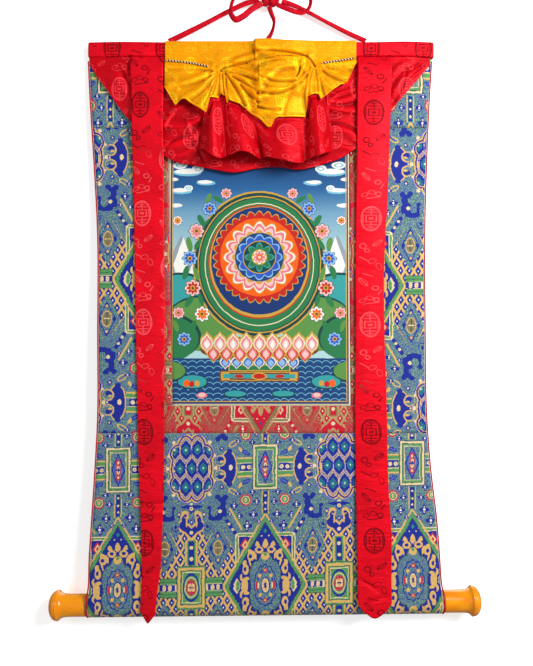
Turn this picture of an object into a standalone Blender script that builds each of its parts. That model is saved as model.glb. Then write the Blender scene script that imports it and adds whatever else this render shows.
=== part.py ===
"""A thangka: a painting on cloth in a pieced brocade mount, with its veil gathered up.

It hangs by a tied red tape from one point, which is the origin. +X is to the right
as one looks at the painting, +Z is up, and the wall behind it lies towards +Y. The
mount leans forward a little, from a flat heading at the top to a roller at the foot.

Sizes are in millimetres and MM turns them into metres. Cloth is laid out by its
`lift`: how far a point's face stands in front of the face of the mount.
"""

import bmesh
import bpy
import math
import numpy as np

MM = 0.001

# Driving sizes ------------------------------------------------------------------
WALL_Y = 10.0
GAP = 0.3

HEADING_TOP = -85.0
SEAM_Z = -110.0
HEADING_THICKNESS = 12.0
HEADING_EDGE_RADIUS = 1.2
HEADING_FLARE = 4.0
HEADING_FLARE_FROM = 240.0

ROLLER_Z = -1033.0
ROLLER_SLOPE = 0.011
CLOTH_THICKNESS = 1.6
SILK_THICKNESS = 1.4
ROD_RADIUS = 17.6
WRAP_RADIUS = ROD_RADIUS + GAP + CLOTH_THICKNESS
ROD_OVERHANG = 4.0
NECK_RADIUS = 18.4
FLANGE_RADIUS = 25.0
ROLLER_Y = WALL_Y - FLANGE_RADIUS - 1.0
ROLLER_LEFT = -291.6
ROLLER_RIGHT = 298.4

FACE_TOP_Y = 2.0
FACE_LEAN = (FACE_TOP_Y - (ROLLER_Y - WRAP_RADIUS)) / (SEAM_Z - ROLLER_Z)

# The sleeve: how far round the rod the cloth goes, and how it rises to its hem.
SLEEVE_EASE = 18.0
SLEEVE_TURN = 220.0
SLEEVE_RISE = 1.2
HEM_START = 4.0
HEM_WIDTH = 16.0
HEM_GAP = 0.8
HEM_INSET = 3.0
RUN_ROWS = 11
TURN_ROWS = 13

# The back swag: its lift at the seam, how soon it leaves it, and the share of its
# hem's lift that it has from the start.
SWAG_SEAM_LIFT = 1.8
SWAG_EASE = 30.0
SWAG_STAND = 0.4

PAINTING_TOP = -270.0
PAINTING_BOTTOM = -701.0
BORDER_TOP = -231.0
BORDER_BOTTOM = -747.0
BORDER_LEFT = (-200.0, -196.0)
BORDER_RIGHT = 192.0

TAPE_DIAMETER = 6.4
GATHER_CORD_DIAMETER = 3.0
GATHER_CORD_EASE = {"gather_cord_left": 0.5, "gather_cord_right": 1.2}
GATHER_CORD_SPACING = 4.0
PIPING_DIAMETER = 2.4
PIPING_EASE = 0.5
PIPING_START = -117.0
PIPING_RUN = 40.0
PIPING_TURN = 120.0

COLOURS = {
    "damask_red": ((0.62, 0.005, 0.022, 1.0), 0.45),
    "veil_red": ((0.50, 0.004, 0.018, 1.0), 0.38),
    "silk_yellow": ((0.95, 0.50, 0.0, 1.0), 0.40),
    "brocade_blue": ((0.09, 0.14, 0.24, 1.0), 0.70),
    "border_brocade": ((0.38, 0.09, 0.10, 1.0), 0.70),
    "painted_canvas": ((0.10, 0.28, 0.42, 1.0), 0.75),
    "amber_knob": ((0.93, 0.33, 0.01, 1.0), 0.18),
    "rod_wood": ((0.50, 0.33, 0.18, 1.0), 0.65),
    "tape_red": ((0.68, 0.006, 0.02, 1.0), 0.55),
    "cord_twist": ((0.30, 0.20, 0.10, 1.0), 0.60),
}


def table(columns, rows):
    """A short table as one array for each named column."""
    values = np.array(rows, float)
    return {name: values[:, i] for i, name in enumerate(columns.split())}


# The mount's side edges, row by row.
SIDE_EDGES = table("height left right", [
    (-110, -296, 286),
    (-184, -292, 281),
    (-287, -285, 276),
    (-423, -277, 271),
    (-575, -275, 270),
    (-725, -274, 272),
    (-808, -278, 278),
    (-890, -283, 287),
    (-960, -286.5, 291.5),
    (-1005, -287.5, 294.5),
    (-1036, -291.2, 299),
])

# The painting's side edges.
PAINTING_EDGES = table("height left right", [
    (-270, -161, 145),
    (-440, -157, 145),
    (-701, -151, 146),
])

# The heading's outline along its length.
HEADING_OUTLINE = table("x top bottom", [
    (-297, -85.5, -111.5),
    (-250, -84.5, -110),
    (-150, -85.5, -110),
    (-40, -85, -110),
    (60, -84.5, -110),
    (180, -85, -110),
    (250, -84, -110),
    (288, -85.5, -113),
])

# Slow waves in the hung cloth, shared by every layer on it.
BUCKLES = table("x z half_width half_height depth", [
    (-255, -330, 60, 120, 2.5),
    (-262, -640, 50, 130, -2.5),
    (250, -300, 50, 110, 2.5),
    (262, -560, 45, 120, -2.5),
    (-240, -880, 70, 70, 2.0),
    (255, -860, 60, 80, 2.5),
    (0, -850, 120, 60, -1.5),
])

# The lower edge of the back swag, as it hangs, and the lift of its face there.
SWAG_HEM = table("x z lift", [
    (-294, -124, 3),
    (-282, -144, 4),
    (-264, -168, 5),
    (-245, -196, 6),
    (-225, -221, 5),
    (-197, -253, 6),
    (-174, -276, 5),
    (-146, -292, 7),
    (-120, -297, 5.5),
    (-86, -304, 8),
    (-47, -310, 9),
    (-12, -303, 6),
    (25, -300, 5.5),
    (59, -305, 8),
    (99, -296, 6),
    (135, -283, 7.5),
    (164, -262, 6),
    (191, -231, 5),
    (217, -202, 5),
    (239, -177, 6),
    (263, -149, 4),
    (284, -124, 3),
])

# Folds are curved ridges (or troughs, where the height is negative) from one end
# to the other. `bend` pushes the middle sideways, and `lean` makes one side steep.
FOLD_COLUMNS = "x0 z0 x1 z1 bend width0 width1 height0 height1 lean"

SWAG_FOLDS = table(FOLD_COLUMNS, [
    # left wing, falling from the seam towards the middle
    (-285, -122, -222, -190, 8, 6, 10, 1.5, 3.0, 0.3),
    (-262, -118, -222, -150, 4, 5, 8, 1.5, 2.5, 0.3),
    # left of the flounce: the big lobe, then two lower folds
    (-166, -232, -100, -208, -14, 9, 8, 5.0, 4.0, 0.5),
    (-166, -262, -106, -240, -6, 7, 8, 3.0, 4.0, -0.4),
    (-150, -282, -112, -266, -3, 6, 7, 2.5, 3.5, 0.0),
    # the same on the right
    (158, -176, 112, -186, 4, 6, 7, 4.0, 3.0, 0.4),
    (160, -204, 112, -200, 3, 6, 8, 2.5, 4.0, -0.4),
    (158, -252, 118, -236, -6, 8, 8, 2.5, 4.0, 0.2),
    (150, -272, 118, -262, -3, 6, 7, 2.0, 3.0, 0.0),
    # right wing
    (276, -124, 222, -170, -5, 5, 9, 1.5, 3.0, 0.3),
    (250, -116, 220, -138, -3, 5, 7, 1.5, 2.5, 0.3),
])

# The yellow panel: its top edge, its stepped hem, and the lift of its face in each
# column at the heading, at the gathers, half way down and at the hem.
YELLOW_TOP = table("x z", [
    (-167, -85), (-17, -85), (-14, -81), (8, -81), (37, -84), (157, -84),
])
YELLOW_HEM = table("x z", [
    (-166, -166), (-147, -198), (-138, -189), (-131, -188), (-95, -212), (-88, -187),
    (-75, -187), (-71, -178), (-62, -184), (-60.5, -196), (-57, -191), (-38, -197),
    (-30, -205), (-22, -213), (-3, -226), (8, -238), (13, -238), (20, -224),
    (27, -221), (71, -219), (75, -184), (87, -180), (93, -181), (97, -188),
    (105, -181), (131, -161), (141, -159), (154, -130), (158, -123),
])
YELLOW_LIFT = table("x heading gather middle hem", [
    (-172, 5.8, 8.5, 11, 13),
    (-140, 5.8, 8.5, 13, 16),
    (-105, 5.8, 8.5, 15, 19),
    (-85, 5.8, 8, 16, 22),
    (-72, 5.8, 8, 15, 17),
    (-55, 5.8, 9, 19, 22),
    (-35, 5.8, 11, 22, 20),
    (-10, 6.4, 15, 26, 24),
    (20, 9, 21, 33, 28),
    (50, 9, 21, 30, 25),
    (72, 7, 13, 22, 20),
    (87, 5.8, 8, 15, 24),
    (104, 5.8, 8, 13, 17),
    (130, 5.8, 8.5, 13, 15),
    (160, 5.8, 8, 10, 12),
])
GATHER_Z = -128.0
YELLOW_MIDDLE_Z = -160.0
YELLOW_HEM_Z = -195.0

YELLOW_FOLDS = table(FOLD_COLUMNS, [
    # fan at the left gather: to the edge, to the corner, then down to the hem
    (-84, -129, -164, -131, 3, 3, 9, 2.0, 3.0, 0.2),
    (-86, -133, -158, -164, 7, 3, 9, 2.5, 4.5, 0.2),
    (-83, -137, -132, -186, 8, 3, 9, 3.0, 5.0, 0.2),
    (-79, -140, -104, -200, 6, 4, 8, 3.0, 4.5, 0.0),
    (-73, -141, -83, -186, 2, 4, 7, 3.0, 4.0, 0.0),
    (-66, -140, -58, -190, -3, 3, 6, 3.0, 4.5, -0.2),
    # folds that leave the left gather for the middle
    (-62, -134, -8, -158, 7, 4, 6, 4.0, 5.0, -0.2),
    (-58, -140, -12, -190, 9, 4, 6, 4.0, 5.0, -0.2),
    (-60, -146, -26, -206, 6, 4, 6, 3.0, 4.0, -0.2),
    (-48, -122, -16, -112, 3, 4, 5, 3.0, 3.0, 0.2),
    # stacked folds of the middle swag, upper to lower
    (-12, -95, 78, -112, -14, 7, 6, 5.0, 3.0, 0.2),
    (-12, -127, 72, -121, 6, 7, 6, 6.0, 4.0, 0.2),
    (-6, -148, 70, -132, 14, 8, 7, 7.0, 5.0, 0.2),
    (-6, -172, 74, -140, 20, 8, 6, 7.0, 5.0, 0.2),
    (-8, -192, 38, -178, 6, 7, 8, 6.0, 2.0, 0.2),
    (-5, -214, 20, -212, 2, 8, 8, 4.0, 2.0, 0.0),
    # swirl round the right gather
    (58, -176, 78, -130, 8, 8, 5, 4.0, 3.0, 0.1),
    (84, -133, 78, -178, -3, 4, 7, 3.0, 4.0, 0.0),
    (91, -134, 92, -178, 1, 3, 6, 3.5, 5.0, 0.0),
    (96, -132, 118, -168, -5, 3, 7, 2.5, 4.5, -0.2),
    (98, -128, 146, -150, -4, 3, 8, 2.5, 4.0, -0.2),
    (99, -124, 156, -120, -2, 3, 6, 2.0, 2.5, -0.3),
])

# The red flounce below the yellow panel: matching places along its top and its hem.
FLOUNCE = table("x_top z_top x_hem z_hem lift_hem", [
    (-98, -203, -107, -272, 12),
    (-93, -194, -101, -274, 24),
    (-85, -178, -83, -288, 40),
    (-76, -172, -69, -291, 32),
    (-70, -166, -61, -286, 22),
    (-62, -172, -51, -285, 34),
    (-52, -180, -36, -282, 44),
    (-42, -184, -21, -284, 40),
    (-32, -190, -6, -290, 26),
    (-22, -200, 0, -288, 14),
    (-12, -208, 5, -288, 26),
    (3, -214, 23, -293, 36),
    (29, -208, 45, -298, 38),
    (54, -206, 61, -299, 30),
    (68, -200, 72, -293, 22),
    (76, -172, 82, -291, 38),
    (86, -168, 93, -289, 46),
    (96, -170, 103, -284, 40),
    (103, -170, 113, -279, 24),
    (108, -166, 119, -272, 12),
])
# The flounce starts a little under the yellow hem and behind it, and springs forward
# below. Each line of it has a quarter of its rows hidden, at most half of its length.
FLOUNCE_MARGIN = 0.03
FLOUNCE_HIDDEN = 0.25
FLOUNCE_MOST_HIDDEN = 0.5
FLOUNCE_SET_BACK = 4.5
FLOUNCE_SPRING = 0.4
COVER_REACH = 6.0
COVER_FADE = 6.0

# Each streamer, row by row: its side edges, the lift at each, and its point.
STREAMERS = {
    "left": table("height left right lift_left lift_right", [
        (-110.4, -224, -168, 3.5, 3.5),
        (-122, -224, -168, 9.5, 9.5),
        (-170, -222, -168, 12, 11),
        (-240, -221, -168, 11, 12),
        (-285, -220, -167, 7, 9),
        (-330, -219, -167, 4, 6),
        (-434, -216, -166, 4, 4),
        (-590, -212, -164, 5, 4),
        (-691, -209, -164, 4, 5),
        (-807, -206, -164, 4, 4),
        (-898, -202, -166, 5, 4),
        (-978, -200, -169.5, 4, 9),
        (-1003, -200.3, -173, 4, 10),
        (-1038, -202.2, -176.6, 4, 11),
    ]),
    "right": table("height left right lift_left lift_right", [
        (-110.4, 160, 219, 3.5, 3.5),
        (-122, 160, 218, 9.5, 9.5),
        (-170, 159, 216, 12, 12),
        (-235, 158, 214, 12, 10),
        (-272, 158, 213, 9, 6),
        (-330, 157, 211, 5, 4),
        (-474, 155, 203, 4, 5),
        (-576, 155, 203, 5, 4),
        (-691, 153, 206, 4, 4),
        (-830, 154, 208, 4, 5),
        (-921, 155, 213, 6.5, 4),
        (-990, 156, 212, 8, 4),
        (-1025, 156.4, 212.4, 9, 5),
    ]),
}
STREAMER_POINTS = {
    "left": table("across drop", [(0, 0), (0.4, 15.5), (0.5, 18.6), (0.6, 16.8), (1, 3.7)]),
    "right": table("across drop", [
        (0, 0), (0.16, 12.5), (0.4, 22.4), (0.5, 23.6), (0.6, 22.0), (0.84, 12.8), (1, 0),
    ]),
}
# A streamer is a little rounded across, below the folds that carry its top.
STREAMER_CROWN = 1.2
STREAMER_CROWN_FROM = -150.0
STREAMER_CROWN_EASE = 60.0

# A knob's turned profile, outward from the rod's end.
KNOB_PROFILE = table("out radius", [
    (GAP, 0),
    (GAP, NECK_RADIUS),
    (32.0, NECK_RADIUS),
    (39.0, 19.4),
    (43.5, 21.8),
    (46.4, FLANGE_RADIUS),
    (48.8, FLANGE_RADIUS),
    (51.0, 24.4),
    (54.0, 22.8),
    (57.4, 19.4),
    (60.2, 14.4),
    (62.0, 8.2),
    (62.8, 0),
])

# The tie's routes, in order from the heading to the knot.
KNOT_CENTRE = (12.0, -2.0, -15.0)
KNOT_RADII = (17.0, 7.0, 10.0)
KNOT_RELIEF = 0.06
KNOT_WRAPS = (9, 5)
KNOT_EASE = 2.0
TIE_ROUTES = {
    "tie_left": [(-160, 4, -82.25), (-158.5, 4, -81.2), (-155, 5, -79.2), (-143, 5, -73.5),
                 (-100, 5, -52), (-56, 4.5, -29.3), (-30, 4, -17.6), (-9, 3, -12)],
    "tie_right": [(175, 4, -81.8), (173.6, 4, -80.8), (170, 5, -78.9), (158, 5, -73.6),
                  (110, 5, -49.5), (76, 4.5, -31.6), (52, 4, -20.6), (34, 3, -14.5)],
    "tie_middle": [(7.0, 4, -83.2), (8.5, 4, -78.5), (13.5, 3, -70), (17.5, 0, -60),
                   (18.5, -3, -51), (14, -5, -39), (10.5, -4, -30.5)],
    "bow_left": [(-4.5, -7, -22.5), (-18, -8, -32), (-36, -9, -46.5), (-46, -9, -50.5),
                 (-54, -9, -42), (-54, -9, -28), (-47, -9, -12), (-35, -8.5, -3),
                 (-19, -7.5, -2.5), (-6, -5.5, -8)],
    "bow_right": [(26.5, -8, -25), (42, -10, -33), (56, -11, -38.5), (66, -11, -40),
                  (75, -11, -35), (80, -11, -24), (78.5, -10.5, -11), (68, -10, -3),
                  (50, -9, -1.5), (31, -7, -7.5)],
}

GATHER_ROUTES = {
    "gather_cord_left": [(-162, -119), (-150, -120.3), (-138, -121.3), (-126, -122.8),
                         (-116, -124.5), (-104, -127.5), (-92, -130.5)],
    "gather_cord_right": [(154, -115), (142, -117), (130, -119), (118, -121),
                          (108, -123), (100, -125)],
}


# Ways of laying out cloth -------------------------------------------------------
def smooth(at, keys, values):
    """A smooth curve through the values at rising or falling keys."""
    order = np.argsort(keys)
    keys = np.asarray(keys, float)[order]
    values = np.asarray(values, float)[order]
    slopes = np.gradient(values, keys)
    i = np.clip(np.searchsorted(keys, at) - 1, 0, len(keys) - 2)
    span = keys[i + 1] - keys[i]
    t = np.clip((at - keys[i]) / span, 0, 1)
    return (
        (1 + 2 * t) * (1 - t) ** 2 * values[i]
        + t * (1 - t) ** 2 * span * slopes[i]
        + t * t * (3 - 2 * t) * values[i + 1]
        + t * t * (t - 1) * span * slopes[i + 1]
    )


def fold_lift(x, z, folds):
    """How far the folds raise the cloth at x and z."""
    total = np.zeros(np.broadcast(x, z).shape)
    steps = np.linspace(0, 1, 9)
    for x0, z0, x1, z1, bend, w0, w1, h0, h1, lean in zip(*folds.values()):
        length = math.hypot(x1 - x0, z1 - z0)
        across = (-(z1 - z0) / length, (x1 - x0) / length)
        bow = 4 * steps * (1 - steps) * bend
        px = x0 + (x1 - x0) * steps + across[0] * bow
        pz = z0 + (z1 - z0) * steps + across[1] * bow
        nearest = np.full(total.shape, np.inf)
        place = np.zeros(total.shape)
        side = np.zeros(total.shape)
        for i in range(len(steps) - 1):
            dx, dz = px[i + 1] - px[i], pz[i + 1] - pz[i]
            along = ((x - px[i]) * dx + (z - pz[i]) * dz) / (dx * dx + dz * dz)
            along = np.clip(along, 0, 1)
            off_x, off_z = x - px[i] - along * dx, z - pz[i] - along * dz
            away = np.hypot(off_x, off_z)
            closer = away < nearest
            nearest = np.where(closer, away, nearest)
            place = np.where(closer, (i + along) / (len(steps) - 1), place)
            side = np.where(closer, np.sign(off_z * dx - off_x * dz), side)
        width = (w0 + (w1 - w0) * place) * (1 + lean * side)
        height = h0 + (h1 - h0) * place
        total += height * np.exp(-((nearest / width) ** 2))
    return total


def flat_y(z):
    """The mount's face without its slow waves."""
    return FACE_TOP_Y + (z - SEAM_Z) * FACE_LEAN


def face_y(x, z):
    """The mount's face, before any lift."""
    y = flat_y(z)
    for bx, bz, half_width, half_height, depth in zip(*BUCKLES.values()):
        y = y + depth * np.exp(-(((x - bx) / half_width) ** 2) - ((z - bz) / half_height) ** 2)
    return y


def sag(z):
    """How much of the roller's slope the cloth takes at this height."""
    share = np.clip((BORDER_BOTTOM - z) / (BORDER_BOTTOM - ROLLER_Z), 0, 1)
    return share * share * (3 - 2 * share) * ROLLER_SLOPE


def edge(edges, side, z):
    return smooth(z, edges["height"], edges[side])


def yellow_lift(x, z):
    levels = [(HEADING_TOP, "heading"), (SEAM_Z, "heading"), (GATHER_Z, "gather"),
              (YELLOW_MIDDLE_Z, "middle"), (YELLOW_HEM_Z, "hem")]
    heights = [level[0] for level in levels]
    columns = [smooth(x, YELLOW_LIFT["x"], YELLOW_LIFT[level[1]]) for level in levels]
    lift = columns[0]
    for i in range(len(levels) - 1):
        t = np.clip((heights[i] - z) / (heights[i] - heights[i + 1]), 0, 1)
        t = t * t * (3 - 2 * t)
        lift = lift + (columns[i + 1] - columns[i]) * t
    return lift + fold_lift(x, z, YELLOW_FOLDS)


def swag_lift(x, z, v):
    hem = smooth(x, SWAG_HEM["x"], SWAG_HEM["lift"])
    settled = np.clip((SEAM_Z - z) / SWAG_EASE, 0, 1)
    share = settled * (SWAG_STAND + (1 - SWAG_STAND) * v)
    folds = fold_lift(x, z, SWAG_FOLDS) * settled
    return SWAG_SEAM_LIFT + (hem - SWAG_SEAM_LIFT) * share + folds


# Ways of making solids ----------------------------------------------------------
def material(name):
    made = bpy.data.materials.get(name)
    if made is None:
        colour, roughness = COLOURS[name]
        made = bpy.data.materials.new(name)
        made.use_nodes = True
        shader = made.node_tree.nodes["Principled BSDF"]
        shader.inputs["Base Color"].default_value = colour
        shader.inputs["Roughness"].default_value = roughness
        shader.inputs["Metallic"].default_value = 0.0
    return made


def add(name, data, finish):
    made = bpy.data.objects.new(name, data)
    data.materials.append(material(finish))
    PARTS.objects.link(made)
    return made


def cloth(name, finish, place, columns, rows, thickness, behind=True):
    """A sheet of cloth. `place` turns u and v, each from 0 to 1, into x, y and z."""
    shape = bmesh.new()
    bmesh.ops.create_grid(shape, x_segments=columns, y_segments=rows, size=0.5)
    u = np.array([point.co.x + 0.5 for point in shape.verts])
    v = np.array([0.5 - point.co.y for point in shape.verts])
    for point, (x, y, z) in zip(shape.verts, np.column_stack(np.broadcast_arrays(*place(u, v)))):
        point.co = (x * MM, y * MM, z * MM)
    bmesh.ops.recalc_face_normals(shape, faces=shape.faces)
    if sum(face.normal.y for face in shape.faces) > 0:
        bmesh.ops.reverse_faces(shape, faces=shape.faces)
    mesh = bpy.data.meshes.new(name)
    shape.to_mesh(mesh)
    shape.free()
    mesh.shade_smooth()
    made = add(name, mesh, finish)
    wall = made.modifiers.new("thickness", "SOLIDIFY")
    wall.thickness = thickness * MM
    wall.offset = -1.0 if behind else 1.0
    return made


def smooth_route(points, spacing):
    """Evenly spaced points on a smooth curve through the route's own points."""
    points = np.array(points, float)
    steps = np.concatenate([[0], np.cumsum(np.linalg.norm(np.diff(points, axis=0), axis=1))])
    count = max(2, round(steps[-1] / spacing)) + 1
    at = np.linspace(0, steps[-1], count)
    return np.column_stack([smooth(at, steps, points[:, i]) for i in range(points.shape[1])])


def tube(name, finish, points, diameter):
    curve = bpy.data.curves.new(name, "CURVE")
    curve.dimensions = "3D"
    curve.bevel_depth = diameter / 2 * MM
    curve.bevel_resolution = 2
    curve.use_fill_caps = True
    line = curve.splines.new("POLY")
    line.points.add(len(points) - 1)
    for point, (x, y, z) in zip(line.points, points):
        point.co = (x * MM, y * MM, z * MM, 1.0)
    return add(name, curve, finish)


# The pieces ---------------------------------------------------------------------
def make_heading():
    """The batten in its red sleeve, flat at the back where it meets the wall."""

    left, right = HEADING_OUTLINE["x"][0], HEADING_OUTLINE["x"][-1]

    def place(u, v):
        x = left + (right - left) * u
        top = smooth(x, HEADING_OUTLINE["x"], HEADING_OUTLINE["top"])
        bottom = smooth(x, HEADING_OUTLINE["x"], HEADING_OUTLINE["bottom"])
        share = np.clip((x - HEADING_FLARE_FROM) / (right - HEADING_FLARE_FROM), 0, 1)
        flare = HEADING_FLARE * share * (1 - v)
        return x + flare, np.full(x.shape, WALL_Y), top + (bottom - top) * v

    heading = cloth("heading", "damask_red", place, 14, 1, HEADING_THICKNESS, behind=False)
    rounding = heading.modifiers.new("rounded edges", "BEVEL")
    rounding.width = HEADING_EDGE_RADIUS * MM
    rounding.segments = 2
    rounding.limit_method = "ANGLE"
    rounding.angle_limit = math.radians(50)


def under_heading(x):
    """Where cloth that is sewn in under the heading starts."""
    return smooth(x, HEADING_OUTLINE["x"], HEADING_OUTLINE["bottom"]) - GAP


def make_mount_panel(name, finish, top, bottom, left, right, columns, rows):
    """One flat cut piece of the mount, between two heights and two side edges."""

    def place(u, v):
        z = top + (bottom - top) * v
        x = left(z) + (right(z) - left(z)) * u
        tucked = (under_heading(x) - SEAM_Z) * (1 - v) if top == SEAM_Z else 0.0
        return x, face_y(x, z), z + tucked + sag(z) * x

    cloth(name, finish, place, columns, rows, CLOTH_THICKNESS)


def border_left(z):
    share = (z - BORDER_TOP) / (BORDER_BOTTOM - BORDER_TOP)
    return BORDER_LEFT[0] + (BORDER_LEFT[1] - BORDER_LEFT[0]) * share


def border_right(z):
    return BORDER_RIGHT + 0.0 * z


def beside(line, gap):
    """The same edge moved sideways by a gap."""
    return lambda z: line(z) + gap


def mount_left(z):
    return edge(SIDE_EDGES, "left", z)


def mount_right(z):
    return edge(SIDE_EDGES, "right", z)


def painting_left(z):
    return edge(PAINTING_EDGES, "left", z)


def painting_right(z):
    return edge(PAINTING_EDGES, "right", z)


def make_mount():
    """The top piece, the side strips, the inner border and the painting."""
    make_mount_panel("brocade_top", "brocade_blue", SEAM_Z, BORDER_TOP,
                     mount_left, mount_right, 8, 3)
    make_mount_panel("brocade_left", "brocade_blue", BORDER_TOP - GAP, BORDER_BOTTOM,
                     mount_left, border_left, 3, 10)
    make_mount_panel("brocade_right", "brocade_blue", BORDER_TOP - GAP, BORDER_BOTTOM,
                     beside(border_right, GAP), mount_right, 3, 10)
    make_mount_panel("border_top", "border_brocade", BORDER_TOP - GAP, PAINTING_TOP,
                     beside(border_left, GAP), border_right, 4, 1)
    make_mount_panel("border_left", "border_brocade", PAINTING_TOP - GAP, PAINTING_BOTTOM,
                     beside(border_left, GAP), beside(painting_left, -GAP), 1, 8)
    make_mount_panel("border_right", "border_brocade", PAINTING_TOP - GAP, PAINTING_BOTTOM,
                     beside(painting_right, GAP), border_right, 1, 8)
    make_mount_panel("border_bottom", "border_brocade", PAINTING_BOTTOM - GAP, BORDER_BOTTOM,
                     beside(border_left, GAP), border_right, 4, 1)
    make_mount_panel("painting", "painted_canvas", PAINTING_TOP - GAP, PAINTING_BOTTOM,
                     painting_left, painting_right, 4, 8)


def sleeve_path(top):
    """The lowest panel's face, as y and z: down the front, round the rod, up behind."""
    lean = math.atan(FACE_LEAN)
    run = [(flat_y(z), z) for z in np.linspace(top, ROLLER_Z + SLEEVE_EASE, RUN_ROWS)]
    around = [(ROLLER_Y - WRAP_RADIUS * math.cos(a), ROLLER_Z - WRAP_RADIUS * math.sin(a))
              for a in np.linspace(-lean, math.radians(SLEEVE_TURN), TURN_ROWS)]
    end_y, end_z = around[-1]
    join_z = end_z + (end_y - flat_y(end_z)) * SLEEVE_RISE
    behind = 2 * CLOTH_THICKNESS + HEM_GAP
    hem = [(flat_y(z) + behind, z) for z in (join_z + HEM_START, join_z + HEM_WIDTH)]
    return np.array(run + around + hem)


def make_lowest_panel():
    """The lowest piece of brocade, whose hem is the sleeve that holds the rod."""
    path = sleeve_path(BORDER_BOTTOM - GAP)
    steps = np.linspace(0, 1, len(path))
    turned, hemmed = steps[RUN_ROWS], steps[RUN_ROWS + TURN_ROWS - 1]

    def place(u, v):
        y = np.interp(v, steps, path[:, 0])
        z = np.interp(v, steps, path[:, 1])
        width_z = np.where((v < turned) | (v > hemmed), z, ROLLER_Z)
        inset = np.where(v > hemmed, HEM_INSET, 0.0)
        left, right = mount_left(width_z) + inset, mount_right(width_z) - inset
        x = left + (right - left) * u
        waves = np.where(v < turned, face_y(x, z) - flat_y(z), 0.0)
        return x, y + waves, z + np.where(v < turned, sag(z), ROLLER_SLOPE) * x

    cloth("brocade_bottom", "brocade_blue", place, 8, len(path) - 1, CLOTH_THICKNESS)


def make_piping():
    """The thin red edge down each side, which follows the mount round the rod."""
    out = PIPING_DIAMETER / 2 + PIPING_EASE
    middle = CLOTH_THICKNESS / 2
    for side, line, turn in (("left", mount_left, -1), ("right", mount_right, 1)):
        heights = np.linspace(PIPING_START, ROLLER_Z + PIPING_RUN, 24)
        points = [(line(z) + turn * out, face_y(line(z), z) + middle,
                   z + sag(z) * line(z)) for z in heights]
        x = line(ROLLER_Z) + turn * out
        radius = ROD_RADIUS + PIPING_DIAMETER / 2 + PIPING_EASE
        for angle in np.radians(np.linspace(0, PIPING_TURN, 7)):
            points.append((x, ROLLER_Y - radius * math.cos(angle),
                           ROLLER_Z + ROLLER_SLOPE * x - radius * math.sin(angle)))
        tube("piping_" + side, "damask_red", points, PIPING_DIAMETER)


def make_swag():
    """The red veil behind: it hangs from the heading's seam in one long curve."""
    left, right = SWAG_HEM["x"][0], SWAG_HEM["x"][-1]

    def place(u, v):
        x = left + (right - left) * u
        bottom = smooth(x, SWAG_HEM["x"], SWAG_HEM["z"])
        top = under_heading(x)
        z = top + (bottom - top) * v
        return x, face_y(x, z) - swag_lift(x, z, v), z

    cloth("veil_swag", "veil_red", place, 38, 9, SILK_THICKNESS)


def make_yellow():
    """The gathered yellow silk, sewn over the heading's face."""
    left, right = YELLOW_HEM["x"][0], YELLOW_HEM["x"][-1]

    def place(u, v):
        x = left + (right - left) * u
        bottom = np.interp(x, YELLOW_HEM["x"], YELLOW_HEM["z"])
        top = np.interp(x, YELLOW_TOP["x"], YELLOW_TOP["z"])
        z = top + (bottom - top) * v
        return x, face_y(x, np.minimum(z, SEAM_Z)) - yellow_lift(x, z), z

    cloth("veil_yellow", "silk_yellow", place, 46, 17, SILK_THICKNESS)


def under_yellow(row):
    """How far down each line of the flounce the yellow panel's hem lies."""
    steps = np.linspace(0, 1, 81)[:, None]
    x = row["x_top"] + (row["x_hem"] - row["x_top"]) * steps
    z = row["z_top"] + (row["z_hem"] - row["z_top"]) * steps
    hidden = z > np.interp(x, YELLOW_HEM["x"], YELLOW_HEM["z"])
    covered = np.where(hidden, steps, 0).max(axis=0)
    return np.clip(covered + FLOUNCE_MARGIN, 0, FLOUNCE_MOST_HIDDEN)


def nearby_hem(x):
    """The lowest that the yellow hem comes within a few millimetres of x."""
    shifts = np.linspace(-COVER_REACH, COVER_REACH, 9)[:, None]
    return np.interp(x + shifts, YELLOW_HEM["x"], YELLOW_HEM["z"]).min(axis=0)


def make_flounce():
    """The red lower band of the front veil: tubes that open towards their hem."""
    stations = np.linspace(0, 1, len(FLOUNCE["x_top"]))

    def place(u, v):
        row = {name: smooth(u, stations, column) for name, column in FLOUNCE.items()}
        seam = under_yellow(row)
        fall = np.clip((v - FLOUNCE_HIDDEN) / (1 - FLOUNCE_HIDDEN), 0, 1)
        down = np.where(v < FLOUNCE_HIDDEN, seam * v / FLOUNCE_HIDDEN, seam + (1 - seam) * fall)
        x = row["x_top"] + (row["x_hem"] - row["x_top"]) * down
        z = row["z_top"] + (row["z_hem"] - row["z_top"]) * down
        seam_x = row["x_top"] + (row["x_hem"] - row["x_top"]) * seam
        seam_z = row["z_top"] + (row["z_hem"] - row["z_top"]) * seam
        under = yellow_lift(x, z) - FLOUNCE_SET_BACK
        start = yellow_lift(seam_x, seam_z) - FLOUNCE_SET_BACK
        spring = fall * (1 + FLOUNCE_SPRING * (1 - fall))
        free = start + (row["lift_hem"] - start) * spring
        covered = np.clip((z - nearby_hem(x)) / COVER_FADE + 1, 0, 1)
        lift = free + (np.minimum(free, under) - free) * covered
        return x, face_y(x, z) - np.where(v < FLOUNCE_HIDDEN, under, lift), z

    cloth("veil_flounce", "veil_red", place, 40, 10, SILK_THICKNESS)


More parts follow.
